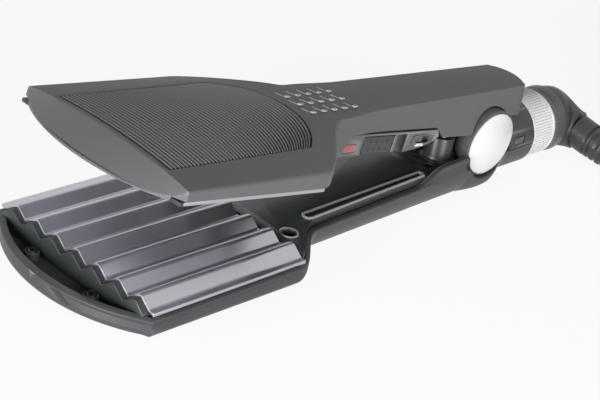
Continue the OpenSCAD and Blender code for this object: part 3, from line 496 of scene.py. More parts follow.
@dataclass(frozen=True)
class Finish:
    """One surface finish, made as a material on first use."""

    name: str
    colour: Triple
    rubbed_and_highlight: Triple
    roughness: float
    metallic: float = 0.0
    specular: float = 0.5
    coat: float = 0.0
    coat_roughness: float = 0.1
    mottle_scale: float = 250.0
    mottle_depth: float = 0.12
    grain_scale: float = 4000.0
    grain_stretch: Triple = (1.0, 1.0, 1.0)
    grain_height: float = 0.02
    # How strongly sharp edges are lightened: partly rubbed wear, partly a painted highlight.
    wear_and_highlight: float = 0.25

    def material(self) -> bpy.types.Material:
        """Return the finish's material, built with the shared effects."""
        if self.name in bpy.data.materials:
            return bpy.data.materials[self.name]
        made = bpy.data.materials.new(self.name)
        made.use_nodes = True
        made.diffuse_color = (*self.colour, 1.0)
        wiring = Wiring(made.node_tree)
        # Sharp edges are lightened towards the edge colour: partly rubbed wear, partly a painted
        # highlight.
        wear_and_highlight = wiring.node("ShaderNodeGroup", {
            "Colour": (*self.colour, 1.0), "Rubbed and highlight": (*self.rubbed_and_highlight, 1.0), "Amount": self.wear_and_highlight,
        }, node_tree=EFFECTS["wear_and_highlight"]).outputs
        mottle = wiring.node("ShaderNodeGroup", {
            "Colour": wear_and_highlight["Colour"], "Scale": self.mottle_scale, "Depth": self.mottle_depth,
            "Roughness": self.roughness,
        }, node_tree=EFFECTS["mottle"]).outputs
        grain = wiring.node("ShaderNodeGroup", {"Scale": self.grain_scale, "Stretch": self.grain_stretch},
                            node_tree=EFFECTS["grain"]).outputs
        bump = wiring.node("ShaderNodeBump", {
            "Strength": 0.3, "Distance": self.grain_height * MM, "Height": grain["Height"]})
        wiring.feed(made.node_tree.nodes["Principled BSDF"], {
            "Base Color": mottle["Colour"], "Roughness": mottle["Roughness"],
            "Normal": bump.outputs["Normal"], "Metallic": self.metallic,
            "Specular IOR Level": self.specular, "Coat Weight": self.coat,
            "Coat Roughness": self.coat_roughness})
        return made

    def dress(self, piece: Piece) -> Piece:
        """Give the whole of a piece this finish."""
        piece.data.materials.clear()
        piece.data.materials.append(self.material())
        for face in piece.data.polygons:
            face.material_index = 0
        return piece


EFFECTS: dict[str, bpy.types.NodeTree] = {}

# The shells' strong edge lightening is mostly a painted highlight along their creases.
SATIN_GREY = Finish("satin grey shell", (0.094, 0.094, 0.098), (0.36, 0.36, 0.37), 0.44, specular=0.14,
                    mottle_depth=0.05, wear_and_highlight=0.7)
# The lower tub and barrel take the hood's gunmetal at half its colour: painted shade on the underside.
TUB_SHADED_GREY = Finish("satin grey tub painted shade", (0.046, 0.047, 0.05), (0.3, 0.3, 0.31), 0.42, specular=0.18,
                  mottle_depth=0.05, wear_and_highlight=0.7)
PANEL_GREY = Finish("panel grey", (0.08, 0.08, 0.083), (0.35, 0.35, 0.35), 0.5, specular=0.3, wear_and_highlight=0.5)
TRIM_GREY = Finish("dark trim", (0.06, 0.06, 0.063), (0.2, 0.2, 0.2), 0.4, specular=0.35, wear_and_highlight=0.5)
SLIDE_GREY = Finish("slide grey", (0.022, 0.022, 0.024), (0.2, 0.2, 0.2), 0.45, specular=0.25, wear_and_highlight=0.5)
COVER_BLACK = Finish("cover black", (0.021, 0.025, 0.024), (0.07, 0.075, 0.075), 0.34, specular=0.35,
                     wear_and_highlight=0.5)
# Full edge lightening on the black rims paints a highlight along their crests.
COVER_RIM_HIGHLIGHT = Finish("cover rim black painted highlight", (0.05, 0.055, 0.055), (0.4, 0.41, 0.41), 0.25, coat=0.5, wear_and_highlight=1.0)
# Light grey on the vents is a painted highlight on the hood's gunmetal.
VENT_HIGHLIGHT_GREY = Finish("vent edge painted highlight", (0.3, 0.3, 0.3), (0.6, 0.6, 0.6), 0.4, specular=0.3)
# The pale ledge grey is a painted glint on the lit ledge of the lock recess.
LEDGE_GLINT_GREY = Finish("ledge painted glint", (0.5, 0.5, 0.5), (0.7, 0.7, 0.7), 0.3)
# The groove finish is painted shade in the pad's grooves.
PAD_GROOVE_SHADE = Finish("pad groove painted shade", (0.03, 0.031, 0.032), (0.1, 0.1, 0.1), 0.6, specular=0.1, wear_and_highlight=0.0)
PAD_GREY = Finish("ribbed pad grey", (0.165, 0.166, 0.17), (0.42, 0.42, 0.43), 0.42, specular=0.25,
                  wear_and_highlight=0.15)
PLATE_METAL = Finish("crimp plate metal", (0.46, 0.45, 0.49), (0.85, 0.85, 0.87), 0.3, metallic=1.0,
                     mottle_depth=0.04, grain_scale=1500.0, grain_stretch=(0.05, 1.0, 1.0),
                     grain_height=0.004)
PEARL = Finish("pearl white", (0.54, 0.54, 0.55), (0.9, 0.9, 0.9), 0.3, coat=0.4, mottle_depth=0.03,
               wear_and_highlight=0.1)
STEEL = Finish("plain steel", (0.5, 0.5, 0.5), (0.7, 0.7, 0.7), 0.3, metallic=1.0)
# The steel screws and spring are near black: painted shade of the recesses and boss they sit in.
SCREW_SHADE_BLACK = Finish("steel in painted shade", (0.03, 0.03, 0.03), (0.2, 0.2, 0.2), 0.3, metallic=0.8)
CERAMIC = Finish("heater ceramic", (0.75, 0.73, 0.68), (0.8, 0.8, 0.78), 0.6)
MICA = Finish("mica board", (0.42, 0.34, 0.2), (0.6, 0.5, 0.35), 0.5)
BOARD_GREEN = Finish("board green", (0.02, 0.12, 0.05), (0.1, 0.3, 0.15), 0.4)
LAMP_RED = Finish("lamp red", (0.25, 0.06, 0.065), (0.5, 0.2, 0.2), 0.3, coat=0.3, mottle_depth=0.25)
CORD_BLACK = Finish("cord black", (0.02, 0.02, 0.021), (0.06, 0.06, 0.06), 0.5, grain_height=0.05)
RELIEF_BLACK = Finish("relief black", (0.02, 0.022, 0.022), (0.08, 0.08, 0.08), 0.42)
PIN_METAL = Finish("pin metal", (0.7, 0.66, 0.58), (0.8, 0.78, 0.7), 0.25, metallic=1.0)


# ---------------------------------------------------------------- shared sizes


@dataclass(frozen=True)
class Frame:
    """Places along the tool that more than one sub-assembly uses."""

    plate_len: float = 52.5
    plate_w: float = 59.4
    plate_rear: float = -95.4
    hinge_h: float = 17.2
    open_angle: float = 9.9
    wall: float = 1.8
    crest_h: float = 15.8
    ridge_h: float = 2.45
    hair_gap: float = 1.0
    sheet_t: float = 1.0
    barrel_h: float = 10.9
    hub_r: float = 10.4

    @property
    def plate_front(self) -> float:
        """Where the plates start."""
        return self.plate_rear - self.plate_len

    @property
    def jaw_w(self) -> float:
        """Half width of the wide jaw."""
        return self.plate_w / 2 + 0.7

    @property
    def waist_front(self) -> float:
        """Where the jaw starts to narrow."""
        return self.plate_rear - 2

    @property
    def waist_rear(self) -> float:
        """Where the handle starts."""
        return self.waist_front + 20.5

    @property
    def panel_front(self) -> float:
        """Where the switch panel comes into sight."""
        return self.waist_rear + 2.5

    @property
    def opened(self) -> Matrix:
        """The turn of the upper arm from closed to rest, in millimetres."""
        turn = Matrix.Rotation(radians(self.open_angle), 4, "Y")
        return shifted(0, 0, self.hinge_h) @ turn @ shifted(0, 0, -self.hinge_h)


BASE = Frame()


class Body(Enum):
    """Bodies that pieces ride on."""

    LOWER = "lower_arm"
    UPPER = "upper_arm"
    SWITCH = "power_slider"
    LOCK = "lock_slider"
    DIAL = "dial"
    CORD = "cord_end"


def placed(piece: Piece, body: Body, slot: str, *nodes: str) -> Piece:
    """Let a piece ride on its body and hide the solids it stands for.

    Args:
        piece: The finished piece.
        body: Body that carries it.
        slot: The record's material slot; not used.
        nodes: Solids that it replaces.

    Returns:
        The same piece.
    """
    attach(piece, body.value)
    if nodes:
        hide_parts(*nodes)
    LOG.info("%s rides on %s", piece.name, body.value)
    return piece


# ---------------------------------------------------------------- camera, light, floor


@dataclass
class Studio:
    """Camera, lamps, world and floor."""

    camera_at: Triple = (-425.1, -293.6, 251.2)
    right: Triple = (0.69325, -0.69788, 0.17990)
    down: Triple = (-0.22270, -0.44480, -0.86750)
    lens: float = 112.93

    def camera(self) -> None:
        """Make the camera."""
        data = bpy.data.cameras.new("camera")
        data.lens = self.lens
        data.sensor_width = 36.0
        data.sensor_fit = "HORIZONTAL"
        data.clip_start = 0.01
        data.clip_end = 10.0
        made = Maker.linked("camera", data)
        right = Vector(self.right).normalized()
        up = -Vector(self.down)
        up = (up - up.dot(right) * right).normalized()
        back = right.cross(up)
        turn = Matrix((right, up, back)).transposed().to_4x4()
        made.matrix_world = Matrix.Translation(Vector(self.camera_at) * MM) @ turn
        bpy.context.scene.camera = made

    def lamp(self, name: str, at: Triple, aim: Triple, size: float, power: float) -> None:
        """Make one soft lamp.

        Args:
            name: Name of the lamp.
            at: Its place in metres.
            aim: Where it points.
            size: Side of its square in metres.
            power: Its power in watts.
        """
        data = bpy.data.lights.new(name, "AREA")
        data.shape = "SQUARE"
        data.size = size
        data.energy = power
        made = Maker.linked(name, data)
        way = Vector(at) - Vector(aim)
        made.matrix_world = Matrix.Translation(at) @ way.to_track_quat("Z", "Y").to_matrix().to_4x4()

    @staticmethod
    def seen(wiring: Wiring) -> bpy.types.NodeSocket:
        """Return 1 for what the camera sees directly, in a reflection or through glass."""
        path = wiring.node("ShaderNodeLightPath")
        straight = wiring.sums("ADD", path.outputs["Is Camera Ray"], path.outputs["Is Glossy Ray"])
        through = wiring.sums("ADD", straight, path.outputs["Is Transmission Ray"])
        return wiring.sums("MINIMUM", through, 1.0)

    def light(self) -> None:
        """Make the lamps and the world."""
        middle = (-0.05, 0.0, 0.02)
        self.lamp("near side lamp", (-0.3, -0.95, 0.22), middle, 0.5, 14.0)
        self.lamp("front lamp", (-1.0, -0.1, 0.17), middle, 0.4, 14.0)
        world = bpy.data.worlds.new("studio")
        bpy.context.scene.world = world
        world.use_nodes = True
        self.shown(world.node_tree, "Background", {"Color": (0.62, 0.63, 0.65, 1.0), "Strength": 0.11},
                   "ShaderNodeBackground", {"Color": (1.0, 1.0, 1.0, 1.0)}, 1.0, "World Output")

    def shown(self, tree: bpy.types.NodeTree, plain: str, plain_inputs: Inputs, seen: str,
              seen_inputs: Inputs, share: float, output: str) -> None:
        """Mix a plain surface with the one that the camera sees.

        Args:
            tree: Tree of the world or material.
            plain: Name of its own shader node.
            plain_inputs: Inputs of that node.
            seen: Type of the node for what the camera sees.
            seen_inputs: Inputs of that node.
            share: How much of it the camera sees.
            output: Name of the output node.
        """
        wiring, own = Wiring(tree), tree.nodes[plain]
        wiring.feed(own, plain_inputs)
        other = wiring.node(seen, seen_inputs)
        factor = wiring.sums("MULTIPLY", self.seen(wiring), share)
        mix = wiring.node("ShaderNodeMixShader", {"Fac": factor, 1: own.outputs[0], 2: other.outputs[0]})
        wiring.feed(tree.nodes[output], {"Surface": mix.outputs[0]})

    def floor(self) -> None:
        """Make the pale floor, which keeps the shadow and looks white to the camera."""
        corners = [(x * 4000, y * 4000, -0.05) for x, y in ((-1, -1), (1, -1), (1, 1), (-1, 1))]
        floor = Maker.object_from("floor", corners, [[0, 1, 2, 3]])
        paper = bpy.data.materials.new("studio paper")
        paper.use_nodes = True
        self.shown(paper.node_tree, "Principled BSDF",
                   {"Base Color": (0.9, 0.9, 0.9, 1.0), "Roughness": 0.9, "Specular IOR Level": 0.1},
                   "ShaderNodeEmission", {"Strength": 1.0}, 0.9, "Material Output")
        floor.data.materials.append(paper)

    def build(self) -> None:
        """Make the whole studio."""
        self.camera()
        self.light()
        self.floor()
        bpy.context.scene.view_settings.view_transform = "Standard"


# ---------------------------------------------------------------- cord


@dataclass
class MainsLead:
    """The lead from the strain relief to the plug, its coil, tie and plug."""

    diameter: float = 6.5
    length: float = 1770.0
    layer: float = 6.55
    coil_r: float = 39.4
    coil_at: Pair = (137.0, -23.4)
    turns: float = 3.0
    sweep: float = 255.0
    plug_thick: float = 13.7
    plug_len: float = 36.0
    steps: int = 24
    route: Sequence[Triple] = ((53.6, -40, 4), (53.8, -45, 3.6), (55.6, -52.4, 3.3), (60, -60.4, 3.27),
                               (67, -67.4, 3.27), (76, -71.7, 3.27), (86, -73, 3.27))
    plug_sections: Sequence[Triple] = (
        (0, 4.2, 4.2), (0.4, 4.8, 4.8), (6, 5.4, 5.2), (9, 6.4, 5.5), (12, 10.5, 6.1), (15, 14.6, 6.6),
        (19, 16.6, 6.8), (25, 17, 6.85), (33, 17, 6.85), (35.2, 16.8, 6.7), (36, 16.2, 6.2))

    @property
    def outer(self) -> float:
        """Radius of the coil's outermost turn."""
        return self.coil_r + 1.5 * self.layer

    def path(self) -> list[Vector]:
        """Return the points of the whole lead, in metres."""
        inner = self.coil_r - 1.5 * self.layer
        points = [Vector(p) for p in self.route]
        low, start = self.diameter / 2 + 0.02, radians(270)
        points += [Vector((x, self.coil_at[1] - self.outer, low)) for x in (98, 110, 122)]
        count = int(self.turns * self.steps)
        whole = 2 * pi * self.turns
        for t in spread(0, 1, count):
            points.append(self._on_coil(start + whole * t, self.outer + (inner - self.outer) * t, low))
        for t in spread(0, 1, count)[1:]:
            lift = ease(t * self.turns, 0.0, 0.35, 0.0, self.layer)
            points.append(self._on_coil(start + whole * t, inner + (self.outer - inner) * t, low + lift))
        for i in range(1, 18):
            points.append(self._on_coil(start + radians(self.sweep) * i / 17,
                                        ease(i, 0, 17, self.outer, self.coil_r),
                                        low + self.layer + ease(i, 0, 4, 0, self.layer)
                                        + ease(i, 14, 17, 0, (self.plug_thick - self.diameter) / 2)))
        end = self.plug_place @ Vector((1.5, 0, self.plug_thick / 2))
        points.append(end)
        return [p * MM for p in points]

    @property
    def plug_place(self) -> Matrix:
        """Where the plug lies on the coil, drawn along X from its rear end."""
        angle = radians(270 + self.sweep)
        at = self._on_coil(angle, self.coil_r, 2 * self.layer + 0.05)
        return shifted(*at) @ Matrix.Rotation(angle + pi / 2, 4, "Z")

    def _on_coil(self, angle: float, radius: float, height: float) -> Vector:
        """Return a point of the coil."""
        x, y = self.coil_at
        return Vector((x + radius * cos(angle), y + radius * sin(angle), height))

    def build(self) -> None:
        path = self.path()
        curve = bpy.data.curves.new("mains_lead", "CURVE")
        curve.dimensions = "3D"
        curve.bevel_depth = self.diameter / 2 * MM
        curve.bevel_resolution = 5
        curve.use_fill_caps = True
        curve.resolution_u = 3
        spline = curve.splines.new("NURBS")
        spline.points.add(len(path) - 1)
        for point, place in zip(spline.points, path):
            point.co = (*place, 1.0)
        spline.order_u = 4
        spline.use_endpoint_u = True
        lead = Maker.linked("mains_lead", curve)
        curve.materials.append(CORD_BLACK.material())
        placed(lead, Body.CORD, "cord_black", "cord_tube", "cord_coil", "cord_tail")
        pieces = [self.plug(), self.pins(), self.tie()]
        tuple(c * MM for c in self.route[0])

    def plug(self) -> Piece:
        """Make the flat two-pin plug with its waisted rear and moulded grip."""
        rings: list[list[Triple]] = []
        for x, half_w, half_t in self.plug_sections:
            ring = []
            for a in angles(48):
                y = copysign(abs(cos(a)) ** 0.42, cos(a)) * half_w
                z = copysign(abs(sin(a)) ** 0.42, sin(a)) * half_t
                ring.append(tuple(self.plug_place @ Vector((x, y, self.plug_thick / 2 + z))))
            rings.append(ring)
        body = RELIEF_BLACK.dress(Maker.loft("plug_shell", rings, sharp=40))
        return placed(body, Body.CORD, "cord_black", "plug_body")

    def pins(self) -> Piece:
        """Make the two plug pins with rounded tips and sleeves."""
        made = []
        for side in (-1, 1):
            root = self.plug_place @ shifted(self.plug_len, side * 9.3, self.plug_thick / 2)
            place = root @ Matrix.Rotation(radians(90), 4, "Y")
            profile = [(0, -1), (1.9, -1), (1.9, 17.4), (1.5, 18.4), (0.9, 18.9), (0, 19)]
            metal = Maker.lathe("pin", profile, place, 32)
            sleeve = Maker.lathe("sleeve", [(1.8, -0.5), (2.0, -0.5), (2.0, 9.3), (1.8, 9.6)], place, 32)
            made += [PIN_METAL.dress(metal), RELIEF_BLACK.dress(sleeve)]
        return placed(Maker.joined("plug_pin_pair", made), Body.CORD, "brass_pins", "plug_pins")

    def tie(self) -> Piece:
        """Make the strap that holds the coil and the turn that lies on it."""
        wide, high = 2 * self.layer, 3 * self.layer
        skins = []
        for grow, step in ((0.0, 0.5), (1.0, 0.1)):
            left, right, top = -wide - 0.8 - grow, wide + 0.2 + grow, high + 0.3 + grow
            line = [(left, 0), (left, top - self.layer), (step, top - self.layer + 0.1),
                    (step + 2.5, top), (right, top), (right, 0)]
            skins.append(filleted(line, [0, 1.2, 1.5, 1.5, 1.2, 0], 4))
        outline = skins[1] + skins[0][::-1]
        place = across_y(shifted(self.coil_at[0] + self.coil_r, 0, 0))
        band = Maker.prism("cord_band", outline, self.coil_at[1] - 5, self.coil_at[1] + 5, place)
        return placed(CORD_BLACK.dress(band), Body.CORD, "cord_black", "cord_tie")


# ---------------------------------------------------------------- lower casing


@dataclass
class LowerCasing:
    """The tub of the lower arm: wide jaw with a round nose, waist, handle, ears and barrel half."""

    nose: float = 11.7
    rim_h: float = 11.3
    shoulder: float = 0.6
    jaw_floor: float = 6.3
    grip_w: float = 17.2
    hinge_w: float = 13.6
    ear_h: float = 15.6
    ear_rise: float = -34.0
    ear_top: float = -22.0
    barrel_r: float = 10.6
    barrel_front: float = 11.0
    barrel_back: float = 25.7
    jaw_edge: float = 2.2
    notch_r: float = field(init=False)
    nose_r: float = field(init=False)
    nose_cx: float = field(init=False)

    def __post_init__(self) -> None:
        """Work out the nose arc and the hub notch."""
        self.notch_r = BASE.hub_r + 0.2
        self.nose_r = nose_radius(BASE.jaw_w, self.nose)
        self.nose_cx = BASE.plate_front - self.nose + self.nose_r

    def grip(self, x: float) -> float:
        """Return the handle's half width at x."""
        return line_at(x, BASE.waist_rear, 0, self.grip_w, self.hinge_w)

    def half_w(self, x: float) -> float:
        """Return the outer half width at x."""
        if x < BASE.plate_front:
            return arc_half_width(x, self.nose_cx, self.nose_r, 0.1)
        if x < 2:
            grip = self.grip(max(x, BASE.waist_rear))
            return ease(x, BASE.waist_front, BASE.waist_rear, BASE.jaw_w, grip)
        return ease(x, 2, self.barrel_front + 3, self.grip(2), self.barrel_r)

    def inner_w(self, x: float) -> float:
        """Return the inner half width at x."""
        if x < BASE.plate_front:
            arc = arc_half_width(x, self.nose_cx, self.nose_r - BASE.wall, 0.4)
            return min(BASE.jaw_w - BASE.wall, arc)
        return self.half_w(x) - BASE.wall

    def rim(self, x: float) -> float:
        """Return the height of the outer rim at x, with the notch for the hub."""
        notch = BASE.hinge_h - sqrt(max(0.0, self.notch_r ** 2 - x * x))
        plain = (ease(x, self.ear_rise, self.ear_top, self.rim_h, self.ear_h) if x < 0
                 else ease(x, 4, 8, self.ear_h, BASE.barrel_h))
        return min(notch, plain)

    def floor(self, x: float) -> float:
        """Return the height of the underside at x."""
        tip = BASE.plate_front - self.nose
        if x < tip + 1.6:
            d = 1 - (x - tip) / 1.6
            return self.jaw_floor + 1.6 * (1 - sqrt(max(0.0, 1 - d * d)))
        if x < 0:
            return ease(x, BASE.waist_front, BASE.waist_rear + 4, self.jaw_floor, 0)
        return ease(x, 4, self.barrel_front + 3, 0, BASE.barrel_h - self.barrel_r)

    def edge(self, x: float) -> Pair:
        """Return the width and height of the round lower edge at x."""
        if x < 0:
            grip_edge = self.grip(max(x, BASE.waist_rear)) - 4.4
            wide = ease(x, BASE.waist_front, BASE.waist_rear, self.jaw_edge, grip_edge)
            tall = ease(x, BASE.waist_front, BASE.waist_rear, self.jaw_edge, self.rim_h - 0.1)
        else:
            wide = ease(x, 0, self.barrel_front + 3, self.grip(0) - 4.4, self.barrel_r - 0.2)
            tall = ease(x, 0, self.barrel_front + 3, self.rim_h - 0.1, self.barrel_r - 0.2)
        return wide, min(self.rim(x) - self.floor(x) - 0.4, tall)

    def half(self, w: float, rim: float, floor: float, wide: float, tall: float) -> list[Pair]:
        """Return half of a tub section, from the middle of the rim's top to the middle of the floor."""
        wide, tall = min(wide, w - 0.2), min(tall, max(0.0, rim - floor))
        line: list[Pair] = [(w, rim)]
        for a in spread(0, pi / 2, 12):
            line.append((w - wide + wide * cos(a), floor + tall - tall * sin(a)))
        return line + [((w - wide) * 0.5, floor), (0.0, floor)]

    def nose_half(self, x: float, rim: float) -> list[Pair]:
        """Return half of the nose's outer section, its lower edge rounded square to the arc."""
        edge, run = self.jaw_edge, self.nose_cx - x
        deep = min(edge, self.nose_r - run)
        line: list[Pair] = [(self.half_w(x), rim)]
        for a in spread(0, pi / 2, 12):
            d = deep * (1 - cos(a))
            y = sqrt(max(0.0, (self.nose_r - d) ** 2 - run * run))
            line.append((y, self.jaw_floor + edge - sqrt(max(0.0, edge * edge - (edge - d) ** 2))))
        low = line[-1]
        return line + [(low[0] * 0.5, low[1]), (0.0, low[1])]

    def ring(self, x: float) -> list[Triple]:
        """Return the closed section at x, outer skin and inner skin."""
        w, rim, floor = self.half_w(x), self.rim(x), self.floor(x)
        wide, tall = self.edge(x)
        outer = self.nose_half(x, rim) if x < BASE.plate_front else self.half(w, rim, floor, wide, tall)
        tip = BASE.plate_front - self.nose
        lift = self.shoulder * min(1.0, max(0.0, (BASE.waist_rear - x) / 8), (x - tip) / BASE.wall)
        if x > tip + BASE.wall:
            inner = self.half(max(0.3, self.inner_w(x)), rim + lift, floor + BASE.wall,
                              max(0.4, wide - BASE.wall), max(0.2, tall - BASE.wall))
        else:
            inner = [(min(0.4, w * 0.7) * t, rim + lift - 0.02) for t in spread(1, 0, len(outer) - 1)]
        top = filleted([outer[1], outer[0], inner[0], inner[1]], [0, 0.45, 0.35, 0], 3)[1:-1]
        line = (mirrored(outer[1:]) + [(-y, z) for y, z in reversed(top)]
                + [(-y, z) for y, z in inner[1:]] + inner[-2:0:-1] + top[::-1])
        return [(x, y, z) for y, z in line]

    def stations(self) -> list[float]:
        """Return the places of the sections."""
        tip = BASE.plate_front - self.nose
        half_angle = asin(BASE.jaw_w / self.nose_r)
        places = [self.nose_cx - self.nose_r * cos(half_angle * a / 30) for a in range(31)]
        places += spread(tip, tip + 1.6, 6) + [tip + BASE.wall, tip + BASE.wall + 0.1]
        for start, end, count in ((BASE.plate_front, BASE.waist_front, 8),
                                  (BASE.waist_front, BASE.waist_rear + 5, 36),
                                  (BASE.waist_rear + 5, self.ear_rise, 10),
                                  (self.ear_rise, self.ear_top, 16)):
            places += spread(start, end, count)
        places += [self.ear_top, -self.notch_r - 0.3]
        places += [-self.notch_r * sin(radians(a)) for a in range(-90, 91, 6)]
        places += spread(0, self.barrel_front + 3, 16) + [self.barrel_back - 0.2, self.barrel_back]
        return merged(places, 0.05)

    def build(self) -> None:
        """Make the lower casing."""
        shell = Maker.loft("lower_shell", [self.ring(x) for x in self.stations()], sharp=38)
        # The tub's darker gunmetal is painted shade.
        placed(TUB_SHADED_GREY.dress(shell), Body.LOWER, "gunmetal", "lower_casing")


# ---------------------------------------------------------------- upper casing


@dataclass
class UpperCasing:
    """The hood of the upper arm: sloping nose, crowned top with the pad's recess, handle and tail."""

    nose: float = 6.4
    deck_front: float = 23.0
    slope: float = 0.0687
    front_crown: float = 2.2
    grip_crown: float = 0.5
    deck_w: float = 9.4
    tail_w: float = 7.7
    tail: float = 17.6
    lean: float = 0.32
    panel_top: float = 23.0
    side_low: float = 20.2
    tail_low: float = 25.1
    pad_len: float = 61.0
    pad_front_w: float = 20.8
    pad_rear_w: float = 20.0
    pad_arc: float = 10.0
    pad_recess: float = 0.9
    pad_t: float = 0.75
    rib_pitch: float = 1.33
    rib_depth: float = 0.55
    vent_pitch: float = 4.2
    slot_outline: Sequence[Pair] = ((0.5, -1.7), (0.9, -1.7), (-0.1, 1.7), (-0.5, 1.7))
    lip_outline: Sequence[Pair] = ((0.5, -1.9), (2.0, -1.9), (1.7, -1.0), (0.3, -1.0))
    top_x: float = field(init=False)
    nose_r: float = field(init=False)
    nose_cx: float = field(init=False)
    lip_h: float = field(init=False)
    rim_h: float = field(init=False)
    pad_x: float = field(init=False)
    pad_back: float = field(init=False)
    pad_arc_r: float = field(init=False)
    pad_corner: float = field(init=False)
    panel_rise: float = field(init=False)
    panel_back: float = field(init=False)
    arch_r: float = field(init=False)
    tail_corner: float = field(init=False)
    tail_r: float = field(init=False)

    def __post_init__(self) -> None:
        """Work out the nose arc, the lip, the pad, the panel and the tail."""
        self.top_x = BASE.plate_front + 1.5
        self.nose_r = nose_radius(BASE.jaw_w - 0.7, self.nose - 0.4)
        self.nose_cx = BASE.plate_front - self.nose + self.nose_r
        self.lip_h = BASE.hinge_h - 0.9
        self.rim_h = BASE.crest_h + BASE.hair_gap + BASE.sheet_t + 0.3
        self.pad_x = self.top_x + 1.5
        self.pad_back = self.pad_x + self.pad_len
        self.pad_arc_r = nose_radius(self.pad_rear_w, self.pad_arc)
        self.pad_corner = self.pad_back - self.pad_arc
        self.panel_rise = BASE.panel_front + 8
        self.panel_back = BASE.panel_front + 46
        self.arch_r = BASE.hub_r + 0.4
        self.tail_corner = self.tail - 5.2
        self.tail_r = nose_radius(self.tail_w + 3, 5.2)

    def deck(self, x: float) -> float:
        """Return the height of the middle of the top at x."""
        return self.deck_front + self.slope * (x - self.top_x)

    def crease_w(self, x: float) -> float:
        """Return the half width of the top at x."""
        start = BASE.waist_front
        if x < start + 26:
            return ease(x, start, start + 26, BASE.jaw_w - 0.2, self.deck_w + 1.8)
        if x < start + 45:
            return ease(x, start + 26, start + 45, self.deck_w + 1.8, self.deck_w)
        return line_at(x, start + 45, self.tail, self.deck_w, self.tail_w)

    def crease_h(self, x: float) -> float:
        """Return the height of the top's edge at x."""
        start, end = BASE.waist_front, BASE.waist_rear + 2
        if x < start:
            return line_at(x, self.top_x, start, self.deck_front - self.front_crown, self.deck(start) - 4)
        rise = ease(x, start, end, self.deck(start) - 4, self.deck(end) - self.grip_crown)
        return rise + (self.deck(x) - self.deck(end) if x > end else 0.0)

    def surface(self, x: float, y: float) -> float:
        """Return the height of the crowned top at a place."""
        u = min(1.0, abs(y) / self.crease_w(x))
        return self.deck(x) - (self.deck(x) - self.crease_h(x)) * u ** 2.2

    def low(self, x: float) -> float:
        """Return the height of the lower edge at x."""
        if x < BASE.plate_front - 0.3:
            jaw = self.lip_h
        else:
            jaw = ease(x, BASE.waist_rear - 6, BASE.waist_rear, self.rim_h, self.rim_h - 0.7)
        if x < self.panel_rise:
            grip = ease(x, BASE.panel_front, self.panel_rise, jaw, self.panel_top)
        else:
            grip = ease(x, self.panel_back, self.panel_back + 4, self.panel_top, self.side_low)
        arch = BASE.hinge_h + sqrt(self.arch_r ** 2 - x * x) if abs(x) < self.arch_r else 0.0
        return max(arch, self.tail_low if x > 0 else grip)

    def low_w(self, x: float) -> float:
        """Return the half width at the lower edge."""
        lean = ease(x, BASE.waist_front + 4, BASE.waist_front + 28, 0.04, self.lean)
        return self.crease_w(x) + lean * (self.crease_h(x) - self.low(x))

    def pad_w(self, x: float) -> float:
        """Return the half width of the pad at x."""
        if x < self.pad_corner:
            return line_at(x, self.pad_x, self.pad_corner, self.pad_front_w, self.pad_rear_w)
        return arc_half_width(x, self.pad_back - self.pad_arc_r, self.pad_arc_r, 0.6)

    def outer(self, x: float) -> list[Pair]:
        """Return half of the outer skin at x, from the lower edge to the middle of the top."""
        cw, ch, low, lw = self.crease_w(x), self.crease_h(x), self.low(x), self.low_w(x)
        pw = min(self.pad_w(x), cw - 1.6)
        deep = self.pad_recess if self.pad_x - 0.02 < x < self.pad_back + 0.02 else 0.0
        corners: list[Pair] = [(lw - 0.5, low), (lw, low), ((lw + cw) / 2, (low + ch) / 2), (cw, ch),
                               (cw * 0.93, self.surface(x, cw * 0.93))]
        radii = [0, 0.35, 3.0, ease(x, BASE.waist_front, BASE.waist_rear, 0.9, 2.2), 1.5]
        for u in (0.66, 0.33):
            y = pw + 0.3 + (cw * 0.93 - pw - 0.3) * u
            corners.append((y, self.surface(x, y)))
            radii.append(0.5)
        corners += [(pw + 0.3, self.surface(x, pw + 0.3)), (pw, self.surface(x, pw) - deep)]
        radii += [0.25, 0.1]
        for u in (0.8, 0.6, 0.4, 0.2, 0.0):
            corners.append((pw * u, self.surface(x, pw * u) - deep))
            radii.append(0.0)
        return filleted(corners, radii, 3)

    def inner(self, x: float) -> list[Pair]:
        """Return half of the inner skin at x."""
        wall = BASE.wall
        cw, ch = self.crease_w(x) - wall, self.crease_h(x) - wall
        low, lw = self.low(x), self.low_w(x) - wall
        line: list[Pair] = [(lw, low), ((lw + cw) / 2, low + (ch - low) * 0.5), (cw, ch)]
        for u in (0.66, 0.33, 0.0):
            line.append((cw * u, self.surface(x, cw * u) - wall))
        return filleted(line, [0, 1, 0.8, 0.5, 0.5, 0], 2)

    def pulled(self, x: float, skin: Sequence[Pair]) -> list[Pair]:
        """Return a skin of the nose, pulled down from the top's front edge to the curved lip."""
        share = (arc_half_width(x, self.nose_cx, self.nose_r, 0.6)
                 / arc_half_width(self.top_x, self.nose_cx, self.nose_r))
        line: list[Pair] = []
        for i, (y, z) in enumerate(skin):
            y *= share
            lip_x = self.nose_cx - sqrt(max(0.0, self.nose_r ** 2 - y * y))
            f = min(1.0, max(0.0, (x - lip_x) / (self.top_x - lip_x))) ** 0.92
            line.append((y, max(self.low(x) + min(0.7, 0.04 * i), self.lip_h + (z - self.lip_h) * f)))
        return line

    def ring(self, x: float) -> list[Triple]:
        """Return the closed section at x."""
        outer, inner = self.outer(max(x, self.top_x)), self.inner(max(x, self.top_x))
        if x < self.top_x:
            outer, inner = self.pulled(x, outer), self.pulled(x, inner)
        if x > self.tail_corner:
            limit = arc_half_width(x, self.tail - self.tail_r, self.tail_r, 1.2)
            outer = [(min(y, limit), z) for y, z in outer]
            inner = [(min(y, limit - BASE.wall), z) for y, z in inner]
        if x < BASE.plate_front - self.nose + BASE.wall + 0.4 or x > self.tail - BASE.wall:
            w = outer[1][0]
            inner = [(w * 0.8 * t, self.low(x) + 0.02) for t in spread(1, 0, len(inner) - 1)]
        return [(x, y, z) for y, z in mirrored(outer) + mirrored(inner)[::-1]]

